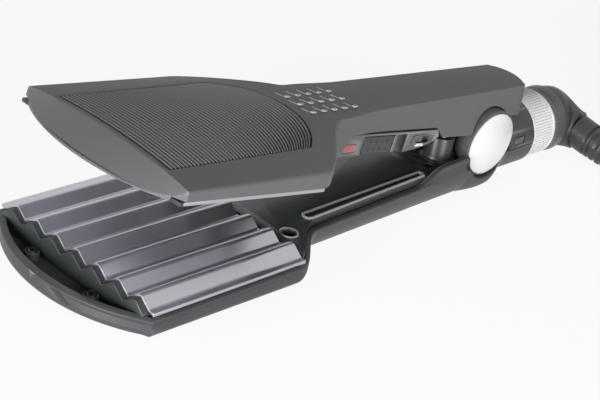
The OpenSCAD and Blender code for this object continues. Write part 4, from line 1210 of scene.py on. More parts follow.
    def stations(self) -> list[float]:
        """Return the places of the sections."""
        tip = BASE.plate_front - self.nose
        places = [tip + 0.02 + (self.top_x - tip - 0.04) * (a / 26) ** 1.8 for a in range(27)]
        places += [tip + BASE.wall + 0.35, tip + BASE.wall + 0.45]
        places += [BASE.plate_front - 0.35, BASE.plate_front - 0.25, self.top_x, self.top_x + 0.3]
        places += [self.top_x + 0.8, self.pad_x - 0.3, self.pad_x]
        places += spread(self.pad_x, BASE.waist_front, 14) + spread(BASE.waist_front, self.pad_corner, 3)
        pad_end = asin(self.pad_rear_w / self.pad_arc_r)
        places += [self.pad_back - self.pad_arc_r * (1 - cos(a)) for a in spread(0, pad_end, 24)]
        places += [self.pad_back + 0.3] + spread(self.pad_back + 0.8, BASE.panel_front, 16)
        places += spread(BASE.panel_front, self.panel_rise, 14)
        places += spread(self.panel_rise, self.panel_back, 16)
        places += spread(self.panel_back, self.panel_back + 4, 8) + [-self.arch_r - 0.05]
        places += [-self.arch_r * sin(radians(a)) for a in range(-90, 91, 6)]
        places += spread(8.0, self.tail_corner, 5)
        round_end = asin((self.tail_w + 3) / self.tail_r)
        places += [self.tail - self.tail_r * (1 - cos(a)) for a in spread(0, round_end, 14)]
        places += [self.tail - BASE.wall - 0.05, self.tail - BASE.wall + 0.05]
        return [x for x in merged(places, 0.04) if x <= self.tail]

    def shell(self) -> None:
        """Make the casing itself."""
        turned = [[tuple(BASE.opened @ Vector(p)) for p in self.ring(x)] for x in self.stations()]
        shell = Maker.loft("upper_shell", turned, sharp=38)
        placed(SATIN_GREY.dress(shell), Body.UPPER, "gunmetal", "upper_casing")

    def louvres(self) -> None:
        """Make the fifteen slanted vents, each a thin slot plate and a raised lip in light grey, a
        painted highlight on the hood's gunmetal.
        """
        made = []
        for i in range(5):
            for j in (-1, 0, 1):
                x, y = self.pad_back + 3.4 + i * self.vent_pitch, j * 5.0
                z = self.surface(x, y)
                tilt = Matrix.Rotation(-atan(self.slope), 4, "Y")
                place = BASE.opened @ shifted(x, y, z) @ tilt
                made.append(Maker.prism("slot", self.slot_outline, 0.0, 0.06, place))
                made.append(Maker.prism("lip", self.lip_outline, 0.0, 0.42, place, 0.06))
        placed(VENT_HIGHLIGHT_GREY.dress(Maker.joined("vent_lips", made)), Body.UPPER, "gunmetal", "vent_louvres")

    def bow(self, along: float, y: float) -> float:
        """Return how far a rib bends forward at y, from straight in front to the rear arc."""
        return (along / self.pad_len) ** 2.5 * (self.pad_arc_r - sqrt(self.pad_arc_r ** 2 - y * y))

    @staticmethod
    def ribs() -> GeometryGroup:
        """Build the group that raises ribs over the top face of the pad and paints shade into the grooves
        with a darker finish.
        """
        group = GeometryGroup("curved ribs", ("Pitch", Socket.NUMBER), ("Depth", Socket.NUMBER),
                              ("Groove shade", Socket.FINISH))
        along = group.node("GeometryNodeInputNamedAttribute", {"Name": "along"}, data_type="FLOAT")
        turns = group.sums("DIVIDE", along.outputs["Attribute"], group.start["Pitch"])
        swing = group.sums("COSINE", group.sums("MULTIPLY", turns, 2 * pi))
        wave = group.sums("MULTIPLY", group.sums("SUBTRACT", swing, 1.0), 0.5)
        face = group.node("ShaderNodeSeparateXYZ", {0: group.node("GeometryNodeInputNormal").outputs[0]})
        upward = group.sums("GREATER_THAN", face.outputs["Z"], 0.5)
        drop = group.sums("MULTIPLY", group.sums("MULTIPLY", wave, group.start["Depth"]), upward)
        offset = group.node("ShaderNodeCombineXYZ", {"Z": drop})
        moved = group.node("GeometryNodeSetPosition",
                           {"Geometry": group.start["Geometry"], "Offset": offset.outputs[0]})
        # The lower half of each rib's wave takes the darker finish: painted shade in the grooves.
        low = group.sums("MULTIPLY", group.sums("LESS_THAN", wave, -0.5), upward)
        grooves = group.node("GeometryNodeSetMaterial", {
            "Geometry": group.dressed(moved.outputs[0]), "Selection": low,
            "Material": group.start["Groove shade"]})
        group.ended({0: grooves.outputs[0]})
        return group

    def pad(self) -> None:
        """Make the heat pad in rows that follow its ribs, which a geometry tree then raises."""
        across, rings, places = 40, [], []
        step = self.rib_pitch / 8
        for along in [0.15 + k * step for k in range(int((self.pad_len - 0.31) / step) + 1)]:
            edge_x = self.pad_x + along - (along / self.pad_len) ** 2.5 * self.pad_arc
            w = line_at(edge_x, self.pad_x, self.pad_corner, self.pad_front_w, self.pad_rear_w) - 0.15
            top = []
            for k in range(across + 1):
                y = w * (2 * k / across - 1)
                x = self.pad_x + along - self.bow(along, y)
                top.append((x, y, self.surface(x, y) - 0.03))
            rings.append(top + [(x, y, z - self.pad_t) for x, y, z in reversed(top)])
            places += [along * MM] * (2 * across + 2)
        pad = Maker.loft("ribbed_pad", rings, sharp=60)
        pad.data.attributes.new("along", "FLOAT", "POINT").data.foreach_set("value", places)
        self.ribs().run(pad, {"Pitch": self.rib_pitch * MM, "Depth": self.rib_depth * MM,
                              "Finish": PAD_GREY.material(), "Groove shade": PAD_GROOVE_SHADE.material()})
        pad.data.attributes.remove(pad.data.attributes["along"])
        placed(Maker.moved(pad, BASE.opened), Body.UPPER, "black_plastic", "heat_pad")

    def build(self) -> None:
        """Make the upper casing and what lies on it."""
        self.shell()
        self.louvres()
        self.pad()


# ---------------------------------------------------------------- copies of solids, and small pieces


class Copies:
    """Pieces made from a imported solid, with its edges rounded."""

    @staticmethod
    def softened(name: str, node: str, edge: float, steps: int = 2, angle: float = 30.0) -> Piece:
        """Copy a solid, merge its triangles into faces and round its edges.

        Args:
            name: Name of the new piece.
            node: The solid that is copied.
            edge: Width of the rounded edges in millimetres.
            steps: Segments of a rounded edge.
            angle: Least angle in degrees of an edge that is rounded.

        Returns:
            The new piece, which replaces the solid once it is placed.
        """
        mesh = NODES[node].data.copy()
        mesh.name = name
        work = bmesh.new()
        work.from_mesh(mesh)
        bmesh.ops.remove_doubles(work, verts=work.verts, dist=2e-6)
        bmesh.ops.dissolve_limit(work, angle_limit=radians(0.6), verts=work.verts, edges=work.edges)
        work.to_mesh(mesh)
        work.free()
        piece = Maker.linked(name, mesh)
        Maker.bevelled(piece, edge, steps, angle)
        return piece

    @staticmethod
    def shown(name: str, node: str, finish: Finish, body: Body, slot: str, edge: float, steps: int = 2,
              angle: float = 30.0) -> None:
        """Put a softened copy in the place of its solid, dressed and on its body."""
        placed(finish.dress(Copies.softened(name, node, edge, steps, angle)), body, slot, node)


NODES: dict[str, Piece] = {}


def dress_node(finish: Finish, *nodes: str) -> None:
    """Give solids that stay in sight a finish."""
    for node in nodes:
        finish.dress(NODES[node])


@dataclass
class Screws:
    """Cross-head screws, set out by a geometry tree."""

    head_r: float = 1.5
    head_h: float = 0.6
    slot_w: float = 0.45

    def head(self, name: str) -> Piece:
        """Make one domed head with a cross in it, upright at the origin."""
        r, h = self.head_r, self.head_h
        profile = [(0, 0), (r, 0), (r, h * 0.45), (r * 0.86, h * 0.8), (r * 0.55, h), (0, h)]
        dome = Maker.lathe(name, profile, Matrix(), 32)
        reach, w = r * 0.62, self.slot_w / 2
        slot = [(-reach, -w), (reach, -w), (reach, w), (-reach, w)]
        arms = [Maker.prism("slot", slot, h * 0.35, h * 1.4, Matrix.Rotation(turn, 4, "Z"))
                for turn in (0.3, 0.3 + pi / 2)]
        Maker.cut(dome, arms)
        return dome

    def at(self, name: str, places: Sequence[Triple], finish: Finish, turn: Matrix = Matrix()) -> Piece:
        """Set one head on each place.

        Args:
            name: Name of the piece.
            places: Where the heads sit, in millimetres.
            finish: Finish of the heads.
            turn: Turns and moves the whole set afterwards.

        Returns:
            One plain mesh with every head.
        """
        head = self.head(name + "_head")
        points = Maker.object_from(name, [tuple(p) for p in places], [])
        group = GeometryGroup(name)
        shape = group.node("GeometryNodeObjectInfo", {"Object": head})
        group.copied(group.start["Geometry"], {"Instance": shape.outputs["Geometry"]})
        group.run(points, {"Finish": finish.material()})
        bpy.data.objects.remove(head)
        return finish.dress(Maker.moved(points, turn))


# ---------------------------------------------------------------- plates


@dataclass
class CrimpPlates:
    """The two zigzag plates and the holders under them."""

    pitch: float = 8.0
    flat: float = 1.2
    crest_r: float = 0.7
    crests: int = 7
    trim: float = 1.4

    def line(self, count: int, base: float, peak: float) -> list[Pair]:
        """Return the top line of a plate, with rounded crests and valleys."""
        reach, half = (count - 1) / 2 * self.pitch, BASE.plate_w / 2
        points: list[Pair] = [(-half, base), (-reach - self.pitch / 2, base)]
        for i in range(count):
            y = -reach + i * self.pitch
            points += [(y - self.flat / 2, peak), (y + self.flat / 2, peak), (y + self.pitch / 2, base)]
        points.append((half, base))
        return filleted(points, [0] + [self.crest_r] * (len(points) - 2) + [0], 4)

    def plate(self, name: str, count: int, base: float, peak: float, thick: float,
              front: float = BASE.plate_front, rear: float = BASE.plate_rear) -> Piece:
        """Make one folded sheet with softened ends.

        Args:
            name: Name of the piece.
            count: How many crests it has.
            base: Height between the crests.
            peak: Height of the crests.
            thick: Thickness, below zero where the sheet lies under its line.
            front: Where it starts.
            rear: Where it ends.

        Returns:
            The dressed sheet.
        """
        top = self.line(count, base, peak)
        rings = []
        for x in (front, rear):
            rings.append([(x, y, z) for y, z in top] + [(x, y, z + thick) for y, z in reversed(top)])
        sheet = Maker.loft(name, rings, sharp=28)
        Maker.bevelled(sheet, 0.16, 2, 50)
        return PLATE_METAL.dress(sheet)

    def build(self) -> None:
        """Make both plates and dress the holders."""
        valley = BASE.crest_h - BASE.ridge_h
        lower = self.plate("lower_zigzag", self.crests, valley, BASE.crest_h, -BASE.sheet_t)
        placed(lower, Body.LOWER, "plate", "lower_crimp_plate")
        base = BASE.crest_h + BASE.hair_gap
        upper = self.plate("upper_zigzag", self.crests - 1, base, base - BASE.ridge_h, BASE.sheet_t,
                           BASE.plate_front + self.trim)
        trim = self.plate("upper_end_trim", self.crests - 1, base - 0.05, base - BASE.ridge_h - 0.05,
                          BASE.sheet_t + 0.1, BASE.plate_front, BASE.plate_front + self.trim)
        upper = Maker.joined("upper_zigzag_set", [upper, COVER_BLACK.dress(trim)])
        placed(Maker.moved(upper, BASE.opened), Body.UPPER, "plate", "upper_crimp_plate")
        for side, body in (("lower", Body.LOWER), ("upper", Body.UPPER)):
            node = f"{side}_plate_holder"
            Copies.shown(f"{side}_holder", node, COVER_BLACK, body, "black_plastic", 0.3)


# ---------------------------------------------------------------- lower inner cover


@dataclass
class LowerCover:
    """The black deck of the lower handle: finger grooves, screw recesses and the spring boss."""

    casing: LowerCasing
    height: float = 13.4
    thick: float = 2.0
    front: float = -94.4
    back: float = -11.4
    gap: float = 0.15
    groove_len: float = 48.0
    groove_w: float = 2.4
    lip_w: float = 0.7
    lip_h: float = 0.5
    spring_at: Pair = (-15.5, -5.5)
    boss_r: float = 4.1
    boss_t: float = 1.2
    boss_h: float = 7.2
    recess_at: Pair = (-89.4, 17.3)
    recess_r: float = 2.2
    twin_at: Pair = (-20.5, 8.4)
    twin_gap: float = 2.2
    twin_r: float = 1.5

    def groove(self, grow: float) -> list[Pair]:
        """Return the outline of a finger groove, widened by grow, starting at the origin."""
        line: list[Pair] = []
        for x, y, r, first in ((0, 0, self.groove_w / 2 + grow, 90),
                               (self.groove_len, 1.8, self.groove_w * 0.35 + grow, -90)):
            for a in spread(radians(first), radians(first + 180), 12):
                line.append((x + r * cos(a), y + r * sin(a)))
        return line

    def groove_place(self, side: int) -> Matrix:
        """Return where the groove of a side starts, mirrored on the far side (1)."""
        mirror = Matrix.Scale(-1.0, 4, (0, 1, 0)) if side > 0 else Matrix()
        return shifted(BASE.waist_rear - 1, side * (self.casing.grip_w - 4), 0) @ mirror

    def deck(self) -> Piece:
        """Make the deck itself with its holes and grooves cut."""
        xs = merged([self.front] + spread(self.front + 1, -68, 26) + spread(-68, -22, 16) + [self.back])
        side = [(x, self.casing.inner_w(x) - self.gap) for x in xs]
        outline = side + [(x, -y) for x, y in reversed(side)]
        deck = Maker.prism("lower_deck", outline, self.height - self.thick, self.height)
        cutters = []
        for s in (-1, 1):
            cutters.append(Maker.prism("groove", self.groove(0.0), self.height - 0.9, self.height + 1,
                                       self.groove_place(s)))
            for x, y, r, steps in ((*self.recess_at, self.recess_r, 40),
                                   (self.twin_at[0] - self.twin_gap, self.twin_at[1], self.twin_r, 32),
                                   (self.twin_at[0] + self.twin_gap, self.twin_at[1], self.twin_r, 32)):
                cutters.append(Maker.lathe("hole", [(0, 0), (r, 0), (r, 5), (0, 5)],
                                           shifted(x, s * y, self.height - 3), steps))
        Maker.cut(deck, cutters)
        Maker.bevelled(deck, 0.25, 2, 40)
        return COVER_BLACK.dress(deck)

    def lips(self) -> list[Piece]:
        """Make the raised rims of the grooves and of the screw recesses, their crests lightened as a
        painted highlight.
        """
        made = []
        for s in (-1, 1):
            place, rings = self.groove_place(s), []
            for i, m, o in zip(*(self.groove(self.lip_w * share) for share in (0, 0.5, 1))):
                h = self.lip_h
                section = [(i, -0.3), (i, h * 0.7), (m, h), (o, h * 0.5), (o, -0.3)]
                rings.append([tuple(place @ Vector((p[0], p[1], self.height + z))) for p, z in section])
            made.append(COVER_RIM_HIGHLIGHT.dress(Maker.loft("groove_lip", rings, looped=True, sharp=50)))
            r = self.recess_r
            profile = [(r, -0.4), (r, 0.15), (r + 0.2, 0.3), (r + 0.5, 0.2), (r + 0.6, -0.4)]
            at = shifted(self.recess_at[0], s * self.recess_at[1], self.height)
            made.append(COVER_RIM_HIGHLIGHT.dress(Maker.lathe("recess_rim", profile, at, 48)))
        return made

    def boss(self) -> Piece:
        """Make the round boss that guides the opening spring."""
        r, t, h = self.boss_r, self.boss_t, self.boss_h
        profile = [(r - t, -1.0), (r + 1.2, -1.0), (r + 1.0, 0.1), (r + 0.3, 0.5), (r, 1.4), (r, h - 0.4),
                   (r - 0.15, h - 0.1), (r - 0.4, h), (r - t + 0.2, h), (r - t, h - 0.2)]
        boss = Maker.lathe("spring_boss", profile, shifted(*self.spring_at, self.height), 72)
        return COVER_BLACK.dress(boss)

    def screws(self) -> None:
        """Make the sunk screws of the deck."""
        (x, y), z = self.twin_at, self.height - 1.9
        places = [(x + dx, s * y, z) for s in (-1, 1) for dx in (-self.twin_gap, self.twin_gap)]
        places += [(self.recess_at[0], s * self.recess_at[1], z) for s in (-1, 1)]
        # Near-black heads: painted shade in their recesses.
        made = Screws(1.3, 0.7, 0.4).at("deck_screws", places, SCREW_SHADE_BLACK)
        placed(made, Body.LOWER, "steel", "cover_screws")

    def build(self) -> None:
        """Make the deck with its rims, boss and screws."""
        whole = Maker.joined("lower_deck_set", [self.deck(), self.boss()] + self.lips())
        placed(whole, Body.LOWER, "black_plastic", "lower_inner_cover")
        self.screws()


# ---------------------------------------------------------------- switch panel


@dataclass
class SwitchPanel:
    """The grey panel of the upper handle with its lamp lens, power slider and jaw lock."""

    face_y: float = -12.0
    slider_from: float = -60.6
    slider_len: float = 14.4
    slider_low: float = 16.8
    slider_high: float = 21.9
    lens_from: float = -70.1
    lens_len: float = 6.4
    lens_low: float = 17.6
    lens_h: float = 2.6
    lock_from: float = -38.7
    lock_low: float = 18.8
    lock_len: float = 5.0
    lock_w: float = 2.6

    def plaque(self, name: str, outline: Sequence[Pair], low: float, high: float, finish: Finish,
               edge: float, steps: int = 2) -> Piece:
        """Pull an outline out of the panel's face, from low to high, and swing it to where it rests."""
        made = Maker.prism(name, outline, self.face_y + low, self.face_y + high, across_y(), edge, steps)
        return finish.dress(Maker.moved(made, BASE.opened))

    def lens(self) -> None:
        """Make the lamp's lens with a rounded, slightly raised face."""
        x0, x1 = self.lens_from + 0.15, self.lens_from + self.lens_len - 0.15
        z0, z1 = self.lens_low + 0.15, self.lens_low + self.lens_h - 0.15
        corners = [((x0 + x1) / 2, z0), (x1, z0), (x1 + 0.1, z1), (x0 + 0.3, z1), (x0, z0)]
        lens = self.plaque("lamp_window", closed(corners, [0.5] * 4), -0.12, 1.7, LAMP_RED, 0.25, 3)
        placed(lens, Body.UPPER, "red_lens", "lamp_lens")

    @staticmethod
    def rows() -> GeometryGroup:
        """Build the group that repeats a mesh on a grid in the XZ plane."""
        group = GeometryGroup("slider dimples", ("Columns", Socket.WHOLE), ("Rows", Socket.WHOLE),
                              ("Width", Socket.NUMBER), ("Height", Socket.NUMBER))
        grid = group.node("GeometryNodeMeshGrid", {
            "Size X": group.start["Width"], "Size Y": group.start["Height"],
            "Vertices X": group.start["Columns"], "Vertices Y": group.start["Rows"]})
        turn = group.node("GeometryNodeTransform",
                          {"Geometry": grid.outputs[0], "Rotation": (pi / 2, 0.0, 0.0)})
        group.copied(turn.outputs[0], {"Instance": group.start["Geometry"]})
        return group

    def slider(self) -> None:
        """Make the power slider with its sloped rear edge and two rows of oval dimples."""
        body = Copies.softened("power_slide", "power_slider", 0.22)
        SLIDE_GREY.dress(body)
        dimple = Maker.lathe("dimple", [(0, 0), (0.5, 0), (0.46, 0.1), (0.2, 0.04), (0, 0.02)],
                             Matrix.Rotation(radians(90), 4, "X"), 20)
        for vertex in dimple.data.vertices:
            vertex.co.x *= 0.6
        self.rows().run(dimple, {"Columns": 4, "Rows": 2, "Width": 7.6 * MM, "Height": 2.6 * MM,
                                 "Finish": COVER_BLACK.material()})
        centre = shifted(self.slider_from + 6.4, self.face_y - 0.01,
                         (self.slider_low + self.slider_high) / 2)
        COVER_BLACK.dress(Maker.moved(dimple, BASE.opened @ centre))
        x1, low, high = self.slider_from + self.slider_len, self.slider_low + 0.2, self.slider_high + 0.2
        corners = [(x1 - 1.6, low), (x1 - 0.3, low), (x1 - 0.3, high), (x1 - 1.6, high)]
        ridge = self.plaque("ridge", corners, -0.35, 0.1, PANEL_GREY, 0.3, 3)
        whole = Maker.joined("power_slide_set", [body, dimple, ridge])
        placed(whole, Body.SWITCH, "black_plastic", "power_slider")

    def shade_slider_recess(self, cover: Piece) -> None:
        """Paint shade on the floor of the slider's recess with the black finish."""
        cover.data.materials.append(COVER_BLACK.material())
        back = BASE.opened.inverted()
        for face in cover.data.polygons:
            x, y, _ = back @ (face.center / MM)
            beside = self.slider_from - 0.6 < x < self.slider_from + self.slider_len + 4.2
            if beside and y > self.face_y + 0.4:
                face.material_index = 1

    def build(self) -> None:
        """Make the panel and everything on it."""
        cover = PANEL_GREY.dress(Copies.softened("switch_panel", "upper_inner_cover", 0.25, 2, 40))
        self.shade_slider_recess(cover)
        x0, x1 = self.lock_from - 0.8, self.lock_from + self.lock_len + 3.8
        low, high = self.lock_low - 0.5, self.lock_low + self.lock_w + 0.4
        centre, middle = (x0 + x1) / 2, (low + high) / 2 + 0.1
        rim = closed([(centre, low), (x1, low + 0.6), (x1 + 0.4, high - 0.6), (centre, high),
                      (x0 + 0.6, high - 0.4), (x0, low + 0.6)], [1.2, 1.2, 2, 1.2, 1.2])
        eye = closed([(x0 + 0.8, middle), (x0 + 2.2, high - 0.6), (x1 - 2.2, high - 0.6),
                      (x1 - 0.6, middle), (x1 - 2.2, low + 0.8), (x0 + 2.2, low + 0.8)],
                     [1.2, 1.2, 0.5, 1.2, 1.2])
        frame = self.plaque("lock_rim", rim, -0.25, 0.02, PANEL_GREY, 0.12)
        Maker.cut(frame, [self.plaque("lock_hole", eye, -2, 2, PANEL_GREY, 0.0)])
        # The light-grey dish under the lock hole is a painted glint on the lit ledge of the recess.
        lip = closed([(x0 + 2, low - 0.1), (x0 + 6, low - 0.1), (x0 + 5.2, low + 0.75),
                      (x0 + 2.6, low + 0.75)], [0.4, 0.3, 0.3], 3)
        scoop = self.plaque("scoop", lip, -0.4, 0.0, LEDGE_GLINT_GREY, 0.1)
        whole = Maker.joined("switch_panel_set", [cover, frame, scoop])
        placed(whole, Body.UPPER, "panel_grey", "upper_inner_cover")
        self.lens()
        self.slider()
        Copies.shown("lock_nub", "lock_slider", TRIM_GREY, Body.LOCK, "black_plastic", 0.3, 3)


# ---------------------------------------------------------------- hinge and tail


@dataclass
class HingeHub:
    """Pearl discs on dark cheeks, the knuckle between them and the opening spring."""

    disc_r: float = 9.7
    hub_w: float = 12.3
    dome: float = 1.6
    spring_at: Pair = (-15.5, -5.5)
    spring_wire: float = 0.55
    spring_r: float = 1.85
    spring_low: float = 13.45
    spring_high: float = 23.3
    spring_turns: float = 5.0

    def disc(self, name: str, side: int, node: str) -> None:
        """Make one domed disc with a rounded rim, on the near side (-1) or the far side (1)."""
        r = self.disc_r
        profile: list[Pair] = [(0, 0), (r - 0.1, 0), (r, 0.1), (r, 0.5)]
        for t in spread(1, 0, 24)[1:]:
            profile.append(((r - 0.12) * t, 0.6 + self.dome * (1 - t * t)))
        place = shifted(0, side * self.hub_w, BASE.hinge_h) @ Matrix.Rotation(radians(-90 * side), 4, "X")
        placed(PEARL.dress(Maker.lathe(name, profile, place, 128, 40)), Body.LOWER, "pearl", node)

    def spring(self) -> None:
        """Make the wound opening spring, near black as painted shade inside its boss."""
        x, y = self.spring_at
        low, high = self.spring_low + self.spring_wire, self.spring_high - self.spring_wire
        rings, steps, up = [], 160, Vector((0, 0, 1))
        for i in range(steps + 1):
            t = i / steps
            a = 2 * pi * self.spring_turns * t
            rise = t if t > 0.5 else t * (0.4 + 0.6 * min(1.0, 7 * t))
            out = Vector((cos(a), sin(a), 0))
            centre = Vector((x, y, low + (high - low) * rise)) + self.spring_r * out
            rings.append([tuple(centre + self.spring_wire * (cos(b) * out + sin(b) * up))
                          for b in angles(10)])
        wound = SCREW_SHADE_BLACK.dress(Maker.loft("wound_spring", rings, sharp=60))
        placed(wound, Body.LOWER, "steel", "opening_spring")

    def build(self) -> None:
        """Make the hub."""
        self.disc("near_disc", -1, "hinge_disc_near")
        self.disc("far_disc", 1, "hinge_disc_far")
        slot = "dark_gunmetal"
        Copies.shown("hub_cheeks", "hinge_carrier", TRIM_GREY, Body.LOWER, slot, 0.35, 3, 50)
        Copies.shown("upper_knuckle", "hinge_knuckle", COVER_BLACK, Body.UPPER, slot, 0.3, 2, 50)
        self.spring()


@dataclass
class Tail:
    """The barrel, the knurled heat dial, the rear collar, the swivel elbow and the strain relief."""

    axis_h: float = 10.9
    barrel_r: float = 10.6
    dial_from: float = 26.1
    dial_w: float = 10.6
    dial_r: float = 10.35
    dial_depth: float = 0.28
    ridges: int = 72
    collar_from: float = 37.1
    collar_w: float = 5.9
    elbow_from: float = 43.4
    elbow_r: float = 9.5
    exit_r: float = 6.2
    turn: float = 80.0
    relief: Sequence[tuple[float, float, float, float]] = (
        (51.7, -9, 8.5, 5.4), (52.2, -14, 7.5, 5.4), (52.6, -20, 6.6, 5.2), (52.8, -28, 5.5, 4.8),
        (53.2, -36, 4.5, 4.2), (53.6, -40, 4, 3.9))

    def round_x(self, name: str, profile: Sequence[Pair]) -> Piece:
        """Turn a profile of (radius, place along X) about the barrel axis."""
        place = shifted(0, 0, self.axis_h) @ Matrix.Rotation(radians(90), 4, "Y")
        return Maker.lathe(name, profile, place, 128)

    def barrel(self) -> None:
        """Make the upper half of the barrel with its small recessed tabs."""
        shell = Copies.softened("barrel_half", "barrel_shell", 0.2, 2, 40)
        # The barrel's darker gunmetal is painted shade.
        TUB_SHADED_GREY.dress(shell)
        pieces = [shell]
        for s in (-1, 1):
            corners = [(18.5, 0.9), (20.6, 0.9), (20.6, 3.0), (16.6, 3.0), (16.6, 0.9)]
            outline = closed(corners, [0.3] * 4, 3)
            tab = Maker.prism("tab", outline, *sorted((s * 9.3, s * 10.2)),
                              across_y(shifted(0, 0, self.axis_h)), 0.12)
            pieces.append(TRIM_GREY.dress(tab))
        placed(Maker.joined("barrel_half_set", pieces), Body.LOWER, "gunmetal", "barrel_shell")

    @staticmethod
    def knurl() -> GeometryGroup:
        """Build the group that repeats a mesh round the X axis through a height."""
        group = GeometryGroup("dial knurl", ("Count", Socket.WHOLE), ("Radius", Socket.NUMBER),
                              ("Height", Socket.NUMBER))
        count, radius = group.start["Count"], group.start["Radius"]
        circle = group.node("GeometryNodeMeshCircle", {"Vertices": count, "Radius": radius})
        lift = group.node("ShaderNodeCombineXYZ", {"Z": group.start["Height"]})
        turn = group.node("GeometryNodeTransform", {
            "Geometry": circle.outputs[0], "Translation": lift.outputs[0],
            "Rotation": (pi / 2, 0.0, pi / 2)})
        index = group.node("GeometryNodeInputIndex").outputs[0]
        angle = group.sums("DIVIDE", group.sums("MULTIPLY", index, 2 * pi), count)
        spin = group.node("ShaderNodeCombineXYZ", {"X": angle})
        group.copied(turn.outputs[0], {"Instance": group.start["Geometry"], "Rotation": spin.outputs[0]})
        return group

    def dial(self) -> None:
        """Make the dial: a smooth core between two rims, with ridges repeated round it."""
        r, x0, x1, deep = self.dial_r, self.dial_from, self.dial_from + self.dial_w, self.dial_depth
        low = r - deep
        core = self.round_x("dial_core", [(8.05, x0), (low - 0.1, x0), (low, x0 + 0.15), (low, x1 - 0.15),
                                          (low - 0.1, x1), (8.05, x1)])
        rims = [self.round_x("dial_rim", [(low - 0.3, a), (r - 0.12, a), (r, a + 0.14), (r, b - 0.14),
                                          (r - 0.12, b), (low - 0.3, b)])
                for a, b in ((x0, x0 + 0.9), (x1 - 0.9, x1))]
        half = pi * low / self.ridges * 0.52
        ridge = Maker.prism("ridge", [(-half, -0.3), (half, -0.3), (half * 0.55, deep - 0.04), (0, deep),
                                      (-half * 0.55, deep - 0.04)], x0 + 0.8, x1 - 0.8, along_x())
        self.knurl().run(ridge, {
            "Count": self.ridges, "Radius": low * MM, "Height": self.axis_h * MM,
            "Finish": PEARL.material()})
        whole = Maker.joined("knurled_dial", [PEARL.dress(p) for p in [core, ridge] + rims])
        placed(whole, Body.DIAL, "pearl", "temperature_dial")

    def collar(self) -> None:
        """Make the rear collar with rounded edges and a seam."""
        x0, w = self.collar_from, self.collar_w
        collar = self.round_x("tail_collar", [
            (8.0, x0), (9.9, x0), (10.2, x0 + 0.3), (10.28, x0 + 1.7), (10.1, x0 + 1.8), (10.1, x0 + 2.0),
            (10.3, x0 + 2.1), (10.45, x0 + w - 1.0), (10.35, x0 + w - 0.5), (9.95, x0 + w), (7.6, x0 + w),
            (7.6, x0 + w - 1), (8.0, x0 + w - 1)])
        placed(TRIM_GREY.dress(collar), Body.LOWER, "dark_gunmetal", "rear_collar")

    def elbow(self) -> None:
        """Make the turned rubber elbow of the cord swivel."""
        px, py = self.elbow_from + 1.6, -self.elbow_r - 0.6
        sides, rings = 48, []
        first = []
        for u in angles(sides):
            y = py + self.elbow_r + 0.6 + (self.elbow_r - 0.5) * cos(u)
            first.append((self.elbow_from, y, self.axis_h - max(-9.0, min(9.0, self.elbow_r * sin(u)))))
        rings.append(first)
        for t in spread(0, 1, 24):
            a = radians(self.turn) * t
            r = ease(t * 8, 1, 8, self.elbow_r, self.exit_r)
            high = ease(t * 8, 0, 8, self.axis_h, self.axis_h - 2.4)
            ring = []
            for u in angles(sides):
                reach = r + 0.6 + r * cos(u)
                ring.append((px + reach * sin(a), py + reach * cos(a), high - r * sin(u)))
            rings.append(ring)
        made = RELIEF_BLACK.dress(Maker.loft("rubber_elbow", rings, sharp=50))
        placed(made, Body.CORD, "black_plastic", "swivel_elbow")

    def strain_relief(self) -> None:
        """Make the tapered relief with staggered flex slots."""
        route = [Vector(p[:3]) for p in self.relief]
        total, rings, sides = 84, [], 36
        for i in range(total + 1):
            t = i / total * (len(route) - 1)
            j = min(int(t), len(route) - 2)
            f = t - j
            before, after = route[max(j - 1, 0)], route[min(j + 2, len(route) - 1)]
            here = 0.5 * ((2 * route[j]) + (route[j + 1] - before) * f
                          + (2 * before - 5 * route[j] + 4 * route[j + 1] - after) * f * f
                          + (3 * route[j] - before - 3 * route[j + 1] + after) * f ** 3)
            ahead = (route[j + 1] - route[j]).normalized()
            side = ahead.cross(Vector((0, 0, 1))).normalized()
            up = side.cross(ahead)
            r = self.relief[j][3] * (1 - f) + self.relief[j + 1][3] * f
            slot = i > 18 and i < total - 4 and (i // 3) % 2 == 0
            ring = []
            for a in angles(sides):
                across = abs(sin(a) if (i // 6) % 2 else cos(a))
                deep = 0.6 if slot and across > 0.3 else 0.0
                ring.append(tuple(here + (r - deep) * (cos(a) * side + sin(a) * up)))
            rings.append(ring)
        made = RELIEF_BLACK.dress(Maker.loft("flex_relief", rings, sharp=40))
        placed(made, Body.CORD, "black_plastic", "strain_relief")

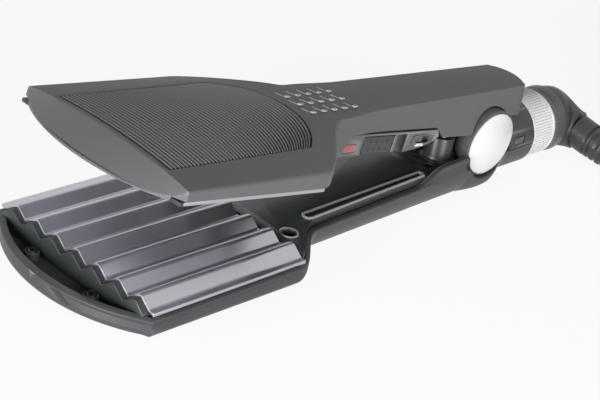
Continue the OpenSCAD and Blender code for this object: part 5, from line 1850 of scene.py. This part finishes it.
    def build(self) -> None:
        """Make the tail."""
        self.barrel()
        self.dial()
        self.collar()
        self.elbow()
        self.strain_relief()


def dress_inner_parts() -> None:
    """Give the parts inside the casings, which show from behind or at an open joint, their finishes."""
    dress_node(CERAMIC, "lower_heater", "upper_heater")
    dress_node(MICA, "lower_insulator", "upper_insulator")
    dress_node(STEEL, "hinge_pin", "vent_baffle", "thermal_fuse")
    dress_node(TRIM_GREY, "tail_spindle", "switch_body", "swivel_bush")
    dress_node(BOARD_GREEN, "circuit_board", "thermostat_pot")
    dress_node(COVER_BLACK, "cover_clips")
    dress_node(LAMP_RED, "lamp")
    dress_node(SCREW_SHADE_BLACK, "upper_screws")


@dataclass
class NoseScrews:
    """The two posts with screws in the open nose of the lower jaw."""

    at: Pair = (-151.9, 11.6)
    floor_h: float = 8.1
    post_h: float = 2.0

    def build(self) -> None:
        """Make both posts and their screws."""
        (x, y), floor, top = self.at, self.floor_h, self.post_h
        profile = [(0, 0), (2.0, 0), (2.0, top - 0.2), (1.85, top), (1.55, top), (1.5, top - 0.5),
                   (0, top - 0.5)]
        posts = [COVER_BLACK.dress(Maker.lathe("post", profile, shifted(x, s * y, floor), 40))
                 for s in (-1, 1)]
        places = [(x, s * y, floor + top - 0.55) for s in (-1, 1)]
        posts.append(Screws(1.35, 0.8, 0.4).at("post_screws", places, SCREW_SHADE_BLACK))
        placed(Maker.joined("nose_posts", posts), Body.LOWER, "steel", "nose_screws")


def main() -> None:
    """Build every sub-assembly in order."""
    logging.basicConfig(level=logging.INFO, format="%(message)s")
    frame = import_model()
    NODES.update(frame["nodes"])
    EFFECTS["mottle"] = SharedEffects.mottle()
    EFFECTS["grain"] = SharedEffects.grain()
    EFFECTS["wear_and_highlight"] = SharedEffects.wear_and_highlight()
    Studio().build()
    MainsLead().build()
    lower = LowerCasing()
    lower.build()
    UpperCasing().build()
    CrimpPlates().build()
    LowerCover(lower).build()
    NoseScrews().build()
    SwitchPanel().build()
    HingeHub().build()
    Tail().build()
    dress_inner_parts()
    LOG.info("%d solids loaded", len(NODES))


if __name__ == "__main__":
    main()
